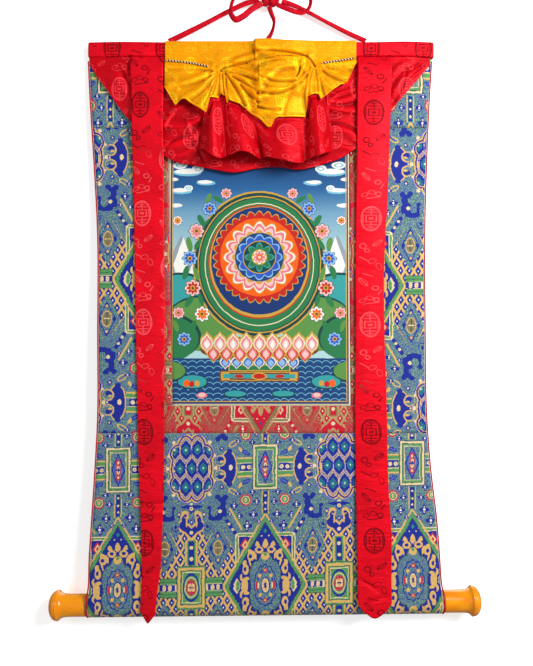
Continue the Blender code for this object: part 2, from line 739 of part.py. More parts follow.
def make_streamer(side):
    """A long red ribbon with a pointed end, sewn in under the heading."""
    rows = STREAMERS[side]
    point = STREAMER_POINTS[side]
    foot = rows["height"][-1]
    across = rows["left"][0] + (rows["right"][0] - rows["left"][0]) * np.array([0, 0.5, 1])
    top = under_heading(across).min()

    def place(u, v):
        z = top + (foot - np.interp(u, point["across"], point["drop"]) - top) * v
        read = {name: smooth(z, rows["height"], column) for name, column in rows.items()}
        x = read["left"] + (read["right"] - read["left"]) * u
        lift = read["lift_left"] + (read["lift_right"] - read["lift_left"]) * u
        below = np.clip((STREAMER_CROWN_FROM - z) / STREAMER_CROWN_EASE, 0, 1)
        crown = STREAMER_CROWN * np.sin(math.pi * u) * below
        return x, face_y(x, np.maximum(z, ROLLER_Z)) - lift - crown, z

    cloth("streamer_" + side, "damask_red", place, 6, 28, SILK_THICKNESS)


def make_roller():
    """A straight rod with a turned knob on each end, a little lower at its left."""
    hub = bpy.data.objects.new("roller", None)
    hub.location = (0, ROLLER_Y * MM, ROLLER_Z * MM)
    hub.rotation_euler = (0, -math.atan(ROLLER_SLOPE), 0)
    PARTS.objects.link(hub)

    rod_left, rod_right = ROLLER_LEFT - ROD_OVERHANG, ROLLER_RIGHT + ROD_OVERHANG
    shape = bmesh.new()
    bmesh.ops.create_cone(shape, cap_ends=True, segments=24, radius1=ROD_RADIUS * MM,
                          radius2=ROD_RADIUS * MM, depth=(rod_right - rod_left) * MM)
    mesh = bpy.data.meshes.new("roller_rod")
    shape.to_mesh(mesh)
    shape.free()
    mesh.shade_smooth()
    mesh.set_sharp_from_angle(angle=math.radians(40))
    rod = add("roller_rod", mesh, "rod_wood")
    rod.parent = hub
    rod.rotation_euler = (0, math.radians(90), 0)
    rod.location = ((rod_left + rod_right) / 2 * MM, 0, 0)

    for side, end, turn in (("left", rod_left, 180), ("right", rod_right, 0)):
        profile = bpy.data.meshes.new("knob_" + side)
        points = [(radius * MM, 0, out * MM)
                  for out, radius in zip(KNOB_PROFILE["out"], KNOB_PROFILE["radius"])]
        points.reverse()
        profile.from_pydata(points, [(i, i + 1) for i in range(len(points) - 1)], [])
        knob = add("knob_" + side, profile, "amber_knob")
        spin = knob.modifiers.new("turning", "SCREW")
        spin.steps = spin.render_steps = 24
        spin.use_merge_vertices = True
        spin.merge_threshold = 0.00001
        spin.use_smooth_shade = True
        knob.parent = hub
        knob.location = (end * MM, 0, 0)
        knob.rotation_euler = (0, math.radians(90 + turn), 0)


def knot_swell(x, y, z):
    """The wraps of the knot, as a share of its radius, in a direction."""
    return 1 + KNOT_RELIEF * math.cos(KNOT_WRAPS[0] * x + KNOT_WRAPS[1] * z) * (1 - z * z)


def at_knot(point):
    """The place just off the knot on the line from its centre to a point."""
    way = (np.array(point) - KNOT_CENTRE) / KNOT_RADII
    way /= np.linalg.norm(way)
    surface = way * KNOT_RADII * knot_swell(*way)
    reach = np.linalg.norm(surface)
    return tuple(np.array(KNOT_CENTRE) + surface * (reach + KNOT_EASE) / reach)


def make_tie():
    """The red tape: two strands to the heading, a slack one between, and its bow."""
    for name, route in TIE_ROUTES.items():
        route = route[:-1] + [at_knot(route[-1])]
        if name.startswith("bow"):
            route = [at_knot(route[0])] + route[1:]
        tube(name, "tape_red", smooth_route(route, TAPE_DIAMETER * 2), TAPE_DIAMETER)

    shape = bmesh.new()
    bmesh.ops.create_uvsphere(shape, u_segments=16, v_segments=10, radius=1.0)
    for point in shape.verts:
        x, y, z = point.co
        wrap = knot_swell(x, y, z)
        point.co = ((KNOT_CENTRE[0] + KNOT_RADII[0] * x * wrap) * MM,
                    (KNOT_CENTRE[1] + KNOT_RADII[1] * y * wrap) * MM,
                    (KNOT_CENTRE[2] + KNOT_RADII[2] * z * wrap) * MM)
    mesh = bpy.data.meshes.new("tie_knot")
    shape.to_mesh(mesh)
    shape.free()
    mesh.shade_smooth()
    add("tie_knot", mesh, "tape_red")


def make_gather_cords():
    """The thin twisted cords that draw the yellow silk up, sunk in its folds."""
    for name, route in GATHER_ROUTES.items():
        flat = smooth_route(route, GATHER_CORD_SPACING)
        x, z = flat[:, 0], flat[:, 1]
        lift = yellow_lift(x, z) + GATHER_CORD_DIAMETER / 2 + GATHER_CORD_EASE[name]
        y = face_y(x, np.minimum(z, SEAM_Z)) - lift
        tube(name, "cord_twist", np.column_stack([x, y, z]), GATHER_CORD_DIAMETER)


def clear_scene():
    for old in list(bpy.data.objects):
        bpy.data.objects.remove(old, do_unlink=True)


clear_scene()
PARTS = bpy.data.collections.new("thangka")
bpy.context.scene.collection.children.link(PARTS)

make_heading()
make_mount()
make_lowest_panel()
make_piping()
make_swag()
make_yellow()
make_flounce()
make_streamer("left")
make_streamer("right")
make_roller()
make_tie()
make_gather_cords()
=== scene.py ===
import math
import bmesh
import bpy
import numpy as np
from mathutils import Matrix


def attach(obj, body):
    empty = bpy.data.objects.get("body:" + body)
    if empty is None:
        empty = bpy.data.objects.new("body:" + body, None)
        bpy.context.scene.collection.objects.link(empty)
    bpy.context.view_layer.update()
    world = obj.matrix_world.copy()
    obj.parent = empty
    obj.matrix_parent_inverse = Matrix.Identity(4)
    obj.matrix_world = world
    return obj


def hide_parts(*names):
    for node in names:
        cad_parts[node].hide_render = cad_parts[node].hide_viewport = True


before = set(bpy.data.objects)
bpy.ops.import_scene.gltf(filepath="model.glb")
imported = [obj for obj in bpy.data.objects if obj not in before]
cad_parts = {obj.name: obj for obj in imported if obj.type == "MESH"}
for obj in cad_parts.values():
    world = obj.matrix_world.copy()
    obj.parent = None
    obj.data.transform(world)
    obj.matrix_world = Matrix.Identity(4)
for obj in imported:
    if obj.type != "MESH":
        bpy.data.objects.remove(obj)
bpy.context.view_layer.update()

# The photograph's view: straight on, level with the middle of the painting, in a white
# room with a large soft light above and to the right. Sizes are in millimetres, but the
# lamps' are in metres.
MM = 0.001
PICTURE_HEIGHT = 666
PIXEL = 1.7
EYE = (5.95, -1250.0, -579.7)
SENSOR = 36.0
WALL_Y = 13.0
FLOOR_Z = -1500.0
BACKDROP_SIZE, BACKDROP_GLOW = 8000.0, 0.5

bpy.ops.object.select_all(action="DESELECT")
bpy.ops.object.camera_add(location=[side * MM for side in EYE], rotation=(math.radians(90), 0, 0))
camera = bpy.context.object
camera.data.sensor_width = SENSOR
camera.data.lens = SENSOR * -EYE[1] / (PICTURE_HEIGHT * PIXEL)
bpy.context.scene.camera = camera
bpy.context.scene.view_settings.view_transform = "Standard"

world = bpy.data.worlds.new("white room")
world.use_nodes = True
world.node_tree.nodes["Background"].inputs["Color"].default_value = (1.0, 1.0, 1.0, 1.0)
world.node_tree.nodes["Background"].inputs["Strength"].default_value = 0.3
bpy.context.scene.world = world

LAMPS = {
    # place, the point it faces, size and power
    "key light": ((1.35, -1.55, 0.3), (0.0, 0.0, -0.65), 0.9, 50.0),
    "fill light": ((-1.7, -1.9, -0.35), (0.0, 0.0, -0.6), 1.6, 10.0),
    "light behind": ((0.3, 2.2, 0.6), (0.0, 0.0, -0.6), 1.8, 26.0),
}
for name, (place, aim, size, power) in LAMPS.items():
    bpy.ops.object.light_add(type="AREA", location=place)
    lamp = bpy.context.object
    lamp.name = name
    lamp.data.size = size
    lamp.data.energy = power
    way = np.array(aim) - np.array(place)
    flat = math.hypot(way[0], way[1])
    lamp.rotation_euler = (math.atan2(flat, -way[2]), 0, math.atan2(-way[0], way[1]))


def backdrop(name, location, rotation):
    """A large white sheet that only the camera sees, and only from its front."""
    bpy.ops.mesh.primitive_plane_add(size=BACKDROP_SIZE * MM, location=location, rotation=rotation)
    made = bpy.context.object
    made.name = name
    bpy.ops.object.transform_apply(location=True, rotation=True, scale=True)
    white = bpy.data.materials.new(name)
    white.use_nodes = True
    tree = white.node_tree
    shader = tree.nodes["Principled BSDF"]
    shader.inputs["Base Color"].default_value = (1.0, 1.0, 1.0, 1.0)
    shader.inputs["Roughness"].default_value = 0.9
    shader.inputs["Emission Color"].default_value = (1.0, 1.0, 1.0, 1.0)
    shader.inputs["Emission Strength"].default_value = BACKDROP_GLOW
    clear = tree.nodes.new("ShaderNodeBsdfTransparent")
    side = tree.nodes.new("ShaderNodeNewGeometry")
    choice = tree.nodes.new("ShaderNodeMixShader")
    tree.links.new(side.outputs["Backfacing"], choice.inputs[0])
    tree.links.new(shader.outputs[0], choice.inputs[1])
    tree.links.new(clear.outputs[0], choice.inputs[2])
    tree.links.new(choice.outputs[0], tree.nodes["Material Output"].inputs["Surface"])
    made.data.materials.append(white)
    made.visible_diffuse = False
    made.visible_glossy = False
    made.visible_shadow = False


backdrop("wall", (0, WALL_Y * MM, 0), (math.radians(90), 0, 0))
backdrop("floor", (0, 0, FLOOR_Z * MM), (0, 0, 0))


# The tie: one length of soft red cotton tape, folded flat. Its ends are sewn to the
# batten near the quarter points and tied above in a bow over the nail, with one slack
# strand left between.
TAPE_THICKNESS = 2.4
TAPE_STEP = 1.6
TAPE_SIDES = 14
TAPE_PATTERN = 20.0
KNOT_CENTRE = np.array((12.0, -2.0, -15.0))
KNOT_RADII = np.array((15.5, 6.2, 9.0))


def linear(red, green, blue):
    """A dye as matched, each part from 0 to 255, as the shader wants it."""
    parts = [part / 255 for part in (red, green, blue)]
    return tuple(part / 12.92 if part < 0.04045 else ((part + 0.055) / 1.055) ** 2.4
                 for part in parts) + (1.0,)


def palette(**dyes):
    """Dyes by name, each from its parts of red, green and blue."""
    return {name: linear(*parts) for name, parts in dyes.items()}


class Finish:
    """A material and its nodes, laid in one over another as threads are."""

    def __init__(self, name, roughness, specular=0.5, **settings):
        self.material = bpy.data.materials.new(name)
        self.material.use_nodes = True
        self.tree = self.material.node_tree
        self.shader = self.tree.nodes["Principled BSDF"]
        self.shader.inputs["Roughness"].default_value = roughness
        self.shader.inputs["Specular IOR Level"].default_value = specular
        for key, value in settings.items():
            self.shader.inputs[key.replace("_", " ").title()].default_value = value

    def add(self, kind, inputs, output=0, **settings):
        node = self.tree.nodes.new("ShaderNode" + kind)
        for key, value in settings.items():
            setattr(node, key, value)
        for slot, value in inputs.items():
            if isinstance(value, bpy.types.NodeSocket):
                self.tree.links.new(value, node.inputs[slot])
            else:
                node.inputs[slot].default_value = value
        return node.outputs[output]

    def math(self, operation, *values, clamp=False):
        return self.add("Math", dict(enumerate(values)), operation=operation, use_clamp=clamp)

    def vector(self, operation, *values):
        output = "Value" if operation in ("LENGTH", "DOT_PRODUCT") else "Vector"
        return self.add("VectorMath", dict(enumerate(values)), output, operation=operation)

    def part(self, vector, axis):
        """One side of a place: 0 is across and 1 is along."""
        return self.vector("DOT_PRODUCT", vector, (1.0 - axis, float(axis), 0.0))

    def mix(self, share, first, second, blend="MIX", label=""):
        return self.add("Mix", {0: share, 6: first, 7: second}, 2, data_type="RGBA",
                        blend_type=blend, label=label)

    def noise(self, place, size, detail=2.0, roughness=0.5):
        """Soft blotches about this many millimetres across, from 0 to 1."""
        return self.add("TexNoise", {"Vector": place, "Scale": 1 / size, "Detail": detail,
                                     "Roughness": roughness})

    def spread(self, value, low, high):
        """Stretches low to high over 0 to 1."""
        return self.math("MULTIPLY_ADD", value, 1 / (high - low), -low / (high - low), clamp=True)

    def wander(self, flat, scale, detail, reach):
        """The place, a little out here and there, as in any hand's or loom's work."""
        moved = self.add("TexNoise", {"Vector": flat, "Scale": scale, "Detail": detail}, 1)
        moved = self.vector("MULTIPLY_ADD", moved, (reach, reach, 0), (-reach / 2, -reach / 2, 0))
        return self.vector("ADD", flat, moved)

    def cloth_place(self):
        """Millimetres over the cloth, as it lay before it was hung."""
        flat = self.add("UVMap", {}, uv_map="cloth")
        return self.vector("MULTIPLY", flat, (1000, 1000, 0))

    def bump(self, height, depth):
        """Relief of this depth in millimetres where height goes from 0 to 1."""
        relief = self.add("Bump", {"Height": height, "Distance": depth * MM, "Strength": 1.0})
        self.tree.links.new(relief, self.shader.inputs["Normal"])

    def colour(self, value, shade=None):
        """The base colour, made darker or lighter by a shade about 1."""
        if shade is not None:
            tint = self.add("CombineColor", {0: shade, 1: shade, 2: shade})
            value = self.mix(1.0, value, tint, "MULTIPLY")
        self.tree.links.new(value, self.shader.inputs["Base Color"])


def smooth(at, keys, values):
    """A smooth curve through the values at rising or falling keys."""
    order = np.argsort(keys)
    keys, values = np.asarray(keys, float)[order], np.asarray(values, float)[order]
    slopes = np.gradient(values, keys)
    i = np.clip(np.searchsorted(keys, at) - 1, 0, len(keys) - 2)
    span = keys[i + 1] - keys[i]
    t = np.clip((at - keys[i]) / span, 0, 1)
    return ((1 + 2 * t) * (1 - t) ** 2 * values[i] + t * (1 - t) ** 2 * span * slopes[i]
            + t * t * (3 - 2 * t) * values[i + 1] + t * t * (t - 1) * span * slopes[i + 1])


def read(rows, at, column):
    """A table's column, smoothly, where its first column is `at`."""
    return smooth(at, rows[:, 0], rows[:, column])


def smooth_route(points, spacing):
    """Evenly spaced points on a smooth curve through the route's own points."""
    points = np.array(points, float)
    steps = np.concatenate([[0], np.cumsum(np.linalg.norm(np.diff(points, axis=0), axis=1))])
    at = np.linspace(0, steps[-1], max(2, round(steps[-1] / spacing)) + 1)
    return np.column_stack([smooth(at, steps, points[:, i]) for i in range(3)])


def finished(name, mesh, *finishes):
    """The finished piece as an object at the origin, in the given finishes."""
    for finish in finishes:
        mesh.materials.append(finish.material)
    made = bpy.data.objects.new(name, mesh)
    bpy.context.scene.collection.objects.link(made)
    mesh.shade_smooth()
    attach(made, "root")
    return made


def stands_for(node):
    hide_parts(node)


def swept(name, route, sections, finish):
    """A closed strip: `sections` holds one ring of offsets for each point of the route."""
    count, sides = len(route), sections.shape[1]
    rings = (route[:, None, :] + sections).reshape(-1, 3)
    points = np.vstack([rings, route[:1], route[-1:]]) * MM
    ring = np.arange(sides)
    after = np.roll(ring, -1)
    faces = []
    for i in range(count - 1):
        low, high = i * sides, (i + 1) * sides
        faces += [(low + a, low + b, high + b, high + a) for a, b in zip(ring, after)]
    start, end, last = count * sides, count * sides + 1, (count - 1) * sides
    faces += [(start, b, a) for a, b in zip(ring, after)]
    faces += [(end, last + a, last + b) for a, b in zip(ring, after)]
    mesh = bpy.data.meshes.new(name)
    mesh.from_pydata(points.tolist(), [], faces)
    lengths = np.concatenate([[0], np.cumsum(np.linalg.norm(np.diff(route, axis=0), axis=1))])
    flat = mesh.uv_layers.new(name="cloth")
    around = np.linspace(-0.5, 0.5, sides, endpoint=False)
    for face in mesh.polygons:
        for loop in face.loop_indices:
            point = mesh.loops[loop].vertex_index
            if point < start:
                flat.data[loop].uv = (around[point % sides] * TAPE_PATTERN * MM,
                                      lengths[point // sides] * MM)
            else:
                flat.data[loop].uv = (0, (lengths[-1] if point == end else 0) * MM)
    shape = bmesh.new()
    shape.from_mesh(mesh)
    bmesh.ops.recalc_face_normals(shape, faces=shape.faces)
    shape.to_mesh(mesh)
    shape.free()
    return finished(name, mesh, finish)


def tape_sections(route, width, thickness, turns, curl=0.35):
    """Rings of a flat tape that turns about its middle line by `turns`, in degrees."""
    along = np.gradient(route, axis=0)
    along /= np.linalg.norm(along, axis=1)[:, None]
    across = np.cross(along, (0.0, 1.0, 0.0))
    across /= np.maximum(np.linalg.norm(across, axis=1), 1e-6)[:, None]
    out = np.cross(across, along)
    share = np.linspace(0, 1, len(route))
    turn = np.radians(smooth(share, np.linspace(0, 1, len(turns)), turns))[:, None]
    side = across * np.cos(turn) + out * np.sin(turn)
    face = out * np.cos(turn) - across * np.sin(turn)
    angle = np.linspace(0, 2 * math.pi, TAPE_SIDES, endpoint=False)
    flat = np.sign(np.cos(angle)) * np.abs(np.cos(angle)) ** 0.8 * width / 2
    thick = np.sin(angle) * thickness / 2
    cup = curl * (np.cos(angle) ** 2 - 0.5) * thickness
    return (side[:, None, :] * flat[None, :, None]
            + face[:, None, :] * (thick + cup)[None, :, None])


tape = Finish("red tape", 0.62, 0.15, sheen_weight=0.1, sheen_roughness=0.4,
              sheen_tint=(1.0, 0.1, 0.15, 1.0))
at = tape.cloth_place()
ribs = tape.math("SINE", tape.math("MULTIPLY", tape.part(at, 0), 7.0))
worn = tape.noise(at, 6.0, 3.0)
tape.colour(tape.mix(tape.spread(worn, 0.35, 0.7), linear(184, 0, 26), linear(232, 4, 38)))
tape.bump(tape.math("MULTIPLY_ADD", ribs, 0.3, worn), 0.25)

TIE_ROUTES = {
    "tie_left": [(-160, 4, -82.25), (-158.5, 4, -81.2), (-155, 5, -79.2), (-143, 5, -73.5),
                 (-100, 5, -52), (-56, 4.5, -29.3), (-30, 4, -17.6), (-7, 2.5, -12)],
    "tie_right": [(175, 4, -81.8), (173.6, 4, -80.8), (170, 5, -78.9), (158, 5, -73.6),
                  (110, 5, -49.5), (76, 4.5, -31.6), (52, 4, -20.6), (32, 2.5, -14.5)],
    "tie_middle": [(7.0, 4, -83.2), (8.5, 4, -78.5), (13.5, 3, -70), (17.5, 0, -60),
                   (18.5, -3, -51), (14, -5, -39), (10.3, -3.5, -26)],
    "bow_left": [(-2, -4.5, -21), (-18, -8, -32), (-36, -9, -46.5), (-46, -9, -50.5),
                 (-54, -9, -42), (-54, -9, -28), (-47, -9, -12), (-35, -8.5, -3),
                 (-19, -7.5, -2.5), (-3, -5.5, -8.5)],
    "bow_right": [(24.5, -4.5, -23.5), (42, -10, -33), (56, -11, -38.5), (66, -11, -40),
                  (75, -11, -35), (80, -11, -24), (78.5, -10.5, -11), (68, -10, -3),
                  (50, -9, -1.5), (28, -5.5, -8.5)],
}
# How the tape turns from its start to its end, in degrees from facing the viewer.
TIE_TURNS = {
    "tie_left": (0, 0, 15, 10, 0),
    "tie_right": (0, -5, -20, -10, 10),
    "tie_middle": (0, 30, 55, 40, 20),
    "bow_left": (10, 5, 20, 48, 45, 45, 30),
    "bow_right": (20, 10, 25, 55, 55, 50, 30),
}
TIE_WIDTHS = {"tie_left": 9.6, "tie_right": 8.6, "tie_middle": 8.4, "bow_left": 10.2,
              "bow_right": 10.0}

KNOT_BAND_THICKNESS = 3.0
KNOT_BANDS = [
    # middle x, lean, half width, reach beyond the core
    (5.0, 0.10, 4.2, 1.04),
    (15.5, -0.12, 4.6, 1.08),
    (23.5, 0.18, 3.4, 1.0),
]
bpy.ops.mesh.primitive_uv_sphere_add(segments=32, ring_count=20, radius=1.0)
core = bpy.context.object
for point in core.data.vertices:
    x, y, z = point.co
    tucks = 1 + 0.05 * math.cos(9 * x + 5 * z) * (1 - z * z)
    point.co = [(c + r * side * tucks) * MM for c, r, side in zip(KNOT_CENTRE, KNOT_RADII, (x, y, z))]
core.data.materials.append(tape.material)
core.data.shade_smooth()
knot_parts = [core]
for middle, lean, half_width, reach in KNOT_BANDS:
    angle = np.linspace(0, 2 * math.pi, 49)[:-1]
    inside = np.sqrt(np.maximum(0.15, 1 - ((middle - KNOT_CENTRE[0]) / (KNOT_RADII[0] * 1.15)) ** 2))
    loop = np.column_stack([
        middle + lean * KNOT_RADII[2] * np.sin(angle) * 1.5,
        KNOT_CENTRE[1] - KNOT_RADII[1] * 1.12 * reach * inside * np.cos(angle),
        KNOT_CENTRE[2] + KNOT_RADII[2] * 1.05 * reach * inside * np.sin(angle),
    ])
    loop = np.vstack([loop, loop[:1]])
    along = np.gradient(loop, axis=0)
    along /= np.linalg.norm(along, axis=1)[:, None]
    outward = loop - np.array((middle, KNOT_CENTRE[1], KNOT_CENTRE[2]))
    outward /= np.linalg.norm(outward, axis=1)[:, None]
    side = np.cross(along, outward)
    turn = np.linspace(0, 2 * math.pi, TAPE_SIDES, endpoint=False)
    rings = (side[:, None, :] * (np.cos(turn) * half_width)[None, :, None]
             + outward[:, None, :] * (np.sin(turn) * KNOT_BAND_THICKNESS / 2)[None, :, None])
    knot_parts.append(swept("knot band", loop, rings, tape))
bpy.ops.object.select_all(action="DESELECT")
for part in knot_parts:
    part.select_set(True)
bpy.context.view_layer.objects.active = core
bpy.ops.object.join()
core.name = "knot"
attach(core, "root")
stands_for("tie_knot")

for name, points in TIE_ROUTES.items():
    route = smooth_route(points, TAPE_STEP)
    width = TIE_WIDTHS[name]
    sections = tape_sections(route, width, TAPE_THICKNESS, TIE_TURNS[name])
    strand = swept(name + "_tape", route, sections, tape)
    stands_for(name)


# The heading: a flat batten in a glued sleeve of red damask, turned in at its ends. It
# is flat at the back, where it lies on the wall.
HEADING_BACK = 10.0
HEADING_THICKNESS = 12.0
HEADING_CORNER = 3.0
HEADING_OUTLINE = np.array([
    # x, top, bottom
    (-297, -85.5, -111.5), (-250, -84.5, -110), (-150, -85.5, -110), (-40, -85, -110),
    (60, -84.5, -110), (180, -85, -110), (250, -84, -110), (290, -85.5, -113)])
HEADING_SIDES = 48
HEADING_SOFTNESS, HEADING_DRAW = 0.10, 0.12
HEADING_ROUNDEL = (256.0, 94.0)

# Every damask here has the same figures, in columns that stand half a repeat apart: fret
# roundels, with curls, leaves and short bars between.
DAMASK_WIDE, DAMASK_TALL = 44.0, 181.0
DAMASK_FIGURES = [
    # shape, x, z, half width, half height, then any outline width and turn
    ("oval", 0, 0, 15, 22, 2.4), ("box", 0, 0, 8.4, 6.4, 1.7), ("box", 0, 0, 3.4, 2),
    ("box", 0, 11, 8.4, 0.9), ("box", 0, -11, 8.4, 0.9), ("box", 0, 15.2, 4.6, 0.9),
    ("box", 0, -15.2, 4.6, 0.9), ("box", 0, 12, 0.9, 6.4), ("box", 0, -12, 0.9, 6.4),
    ("box", 11.2, 0, 0.8, 7.5), ("box", -11.2, 0, 0.8, 7.5), ("oval", -10, 41, 5.4, 3.6, 1.7, 25),
    ("oval", 0, 45, 5.4, 3.8, 1.7, -15), ("oval", 9, 42, 4.6, 4.2, 1.7),
    ("box", 2, 36, 11, 0.8, 0, 8), ("oval", 8, 62, 5.6, 4.6, 1.8),
    ("box", 14, 55, 0.9, 5.4, 0, -32), ("oval", -9, 72, 3.8, 9, 1.6, 40),
    ("box", -9, 72, 0.7, 7, 0, 40), ("oval", 10, -42, 3.8, 8.4, 1.6, -52),
    ("box", 10, -42, 0.7, 6.4, 0, -52), ("oval", -10, -47, 5.2, 5.2, 1.8),
    ("oval", -4, -55, 4.2, 3.8, 1.6), ("oval", 3, -73, 6.4, 4.2, 1.7, 15),
    ("box", -9, -69, 0.9, 6.8, 0, 58), ("oval", 13, -82, 4.2, 6.4, 1.6, 20),
    ("box", -3, 84, 8, 0.8, 0, -20)]


def figure(finish, place, shape, x, z, half_x, half_z, line=0, turn=0):
    """1 on a woven figure and 0 off it. `line` leaves only an outline of that width, or is
    how deep a flower is notched between its petals. `turn` is in degrees."""
    if turn:
        c, s = math.cos(math.radians(turn)), math.sin(math.radians(turn))
        across = finish.math("ADD", finish.vector("DOT_PRODUCT", place, (c / half_x, s / half_x, 0)),
                             -(c * x + s * z) / half_x)
        along = finish.math("ADD", finish.vector("DOT_PRODUCT", place, (-s / half_z, c / half_z, 0)),
                            (s * x - c * z) / half_z)
        if shape == "oval":
            size = finish.math("MULTIPLY_ADD", across, across,
                               finish.math("MULTIPLY", along, along))
        else:
            size = finish.math("MAXIMUM", finish.math("ABSOLUTE", across),
                               finish.math("ABSOLUTE", along))
        return size_within(finish, size, line, min(half_x, half_z))
    place = finish.vector("MULTIPLY_ADD", place, (1 / half_x, 1 / half_z, 0),
                          (-x / half_x, -z / half_z, 0))
    if shape.startswith("flower"):
        angle = finish.math("ARCTAN2", finish.part(place, 0), finish.part(place, 1))
        wave = finish.math("COSINE", finish.math("MULTIPLY", angle, int(shape[6:]) / 2))
        reach = finish.math("MULTIPLY_ADD", finish.math("ABSOLUTE", wave), line, 1 - line)
        return finish.math("LESS_THAN", finish.vector("LENGTH", place), reach)
    if shape == "oval":
        size = finish.vector("LENGTH", place)
    else:
        place = finish.vector("ABSOLUTE", place)
        if shape == "diamond":
            size = finish.vector("DOT_PRODUCT", place, (1, 1, 0))
        else:
            size = finish.math("MAXIMUM", finish.part(place, 0), finish.part(place, 1))
    return size_within(finish, size, line, min(half_x, half_z))


def size_within(finish, size, line, half):
    """1 where a figure's size, which is 1 along its edge, lies inside it or on its outline."""
    if line:
        return finish.math("COMPARE", size, 1 - line / half / 2, line / half / 2)
    return finish.math("LESS_THAN", size, 1.0)


def woven_relief(finish, place):
    """1 on the damask's figures and 0 on its ground."""
    column = finish.math("FLOOR", finish.math("MULTIPLY_ADD", finish.part(place, 0),
                                              1 / DAMASK_WIDE, 0.5))
    along = finish.math("MULTIPLY_ADD", column, DAMASK_TALL / 2, finish.part(place, 1))
    place = finish.add("CombineXYZ", {
        0: finish.math("WRAP", finish.part(place, 0), DAMASK_WIDE / 2, -DAMASK_WIDE / 2),
        1: finish.math("WRAP", along, DAMASK_TALL / 2, -DAMASK_TALL / 2)})
    total = 0.0
    for row in DAMASK_FIGURES:
        total = finish.math("MAXIMUM", total, figure(finish, place, *row))
    return total


def damask_weave(name, ground, painted_shade_dye, light, size, roughness, depth, folds=False):
    """A satin damask. `size` is its figures' size against the chart's. Its figures are painted
    darker than the ground at the head and foot of a long strip, as painted shade where it
    is lit more steeply, and lighter between, as painted sheen. `folds` adds the shade and
    highlight painted into its folds."""
    finish = Finish(name, roughness, 0.14, metallic=0.3)
    flat = finish.cloth_place()
    place = finish.wander(flat, 0.05, 1.0, 3.0)
    place = finish.vector("MULTIPLY", place, (1 / size, 1 / size, 0))
    figures = woven_relief(finish, place)
    slub = finish.noise(finish.vector("MULTIPLY", flat, (0.16, 1.0, 0)), 1.7, 4.0, 0.75)
    ripple = finish.noise(finish.vector("MULTIPLY", flat, (0.3, 1.0, 0)), 9.0, 2.0, 0.5)
    broad = finish.noise(flat, 46.0, 1.0)
    along = finish.part(flat, 1)
    # Painted shade and sheen: the figures take the darker dye at the strip's head and foot, where the
    # light falls more steeply, and the lighter dye between.
    steep = finish.math("MAXIMUM", finish.spread(along, -90.0, -70.0),
                        finish.spread(along, -440.0, -480.0))
    turned = finish.mix(steep, light, painted_shade_dye)
    colour = finish.mix(finish.math("MULTIPLY", figures, 0.85), ground, turned)
    shade = finish.math("MULTIPLY_ADD", slub, 1.3, finish.math("MULTIPLY_ADD", broad, 0.6, 0.08))
    # Painted shade in the troughs of the folds and painted highlight on their ridges, from the points
    # of the cloth.
    if folds:
        painted_shade = finish.add("Attribute", {}, 2, attribute_name="painted_shade")
        shade = finish.math("MULTIPLY", shade, painted_shade)
    finish.colour(colour, shade)
    finish.tree.links.new(finish.math("MULTIPLY_ADD", figures, 0.14, roughness),
                          finish.shader.inputs["Roughness"])
    height = finish.math("MULTIPLY_ADD", figures, 0.5, finish.math(
        "MULTIPLY_ADD", slub, 0.6, finish.math("MULTIPLY", ripple, 1.4)))
    finish.bump(height, depth)
    return finish


# The heading's and the streamers' damask: its figures are painted dark, as shade, at the head and foot
# of a strip, and light, as sheen, between.
damask = damask_weave("red damask", linear(232, 4, 30), linear(120, 0, 12), linear(255, 84, 92),
                      1.0, 0.46, 0.7)

stations = np.linspace(HEADING_OUTLINE[0, 0], HEADING_OUTLINE[-1, 0], 300)
upper, lower = (read(HEADING_OUTLINE, stations, column) for column in (1, 2))
route = np.column_stack([stations, np.full(stations.shape, HEADING_BACK - HEADING_THICKNESS / 2),
                         (upper + lower) / 2])
half_tall = (upper - lower) / 2
angle = np.linspace(0, 2 * math.pi, HEADING_SIDES, endpoint=False)
square = np.maximum(np.abs(np.cos(angle)), np.abs(np.sin(angle)))
rounded_y = np.sign(np.sin(angle)) * np.minimum(np.abs(np.sin(angle)) / square, 1)
rounded_z = np.sign(np.cos(angle)) * np.minimum(np.abs(np.cos(angle)) / square, 1)
soften = 1 - HEADING_SOFTNESS * (np.abs(rounded_y * rounded_z)) ** 6
end_ease = np.clip((stations - stations[0]) / HEADING_CORNER, 0, 1) * np.clip(
    (stations[-1] - stations) / HEADING_CORNER, 0, 1)
end_ease = 1 + (np.sqrt(1 - (1 - end_ease) ** 2) - 1) * HEADING_DRAW
rings = np.zeros((len(stations), HEADING_SIDES, 3))
pucker = (0.35 * np.sin(stations / 11.0) + 0.25 * np.sin(stations / 4.3 + 1.0))[:, None]
front = np.clip(-rounded_y, 0, 1)
rings[:, :, 1] = (HEADING_THICKNESS / 2 * (rounded_y * soften) * end_ease[:, None]
                  + pucker * front * np.exp(-((rounded_z + 0.75) / 0.35) ** 2))
rings[:, :, 2] = half_tall[:, None] * (rounded_z * soften) * end_ease[:, None]
heading = swept("heading_sleeve", route, rings, damask)
for loop in heading.data.loops:
    point = heading.data.vertices[loop.vertex_index].co
    heading.data.uv_layers["cloth"].data[loop.index].uv = (
        point.x + HEADING_ROUNDEL[0] * MM, point.z - point.y + HEADING_ROUNDEL[1] * MM)
stands_for("heading")


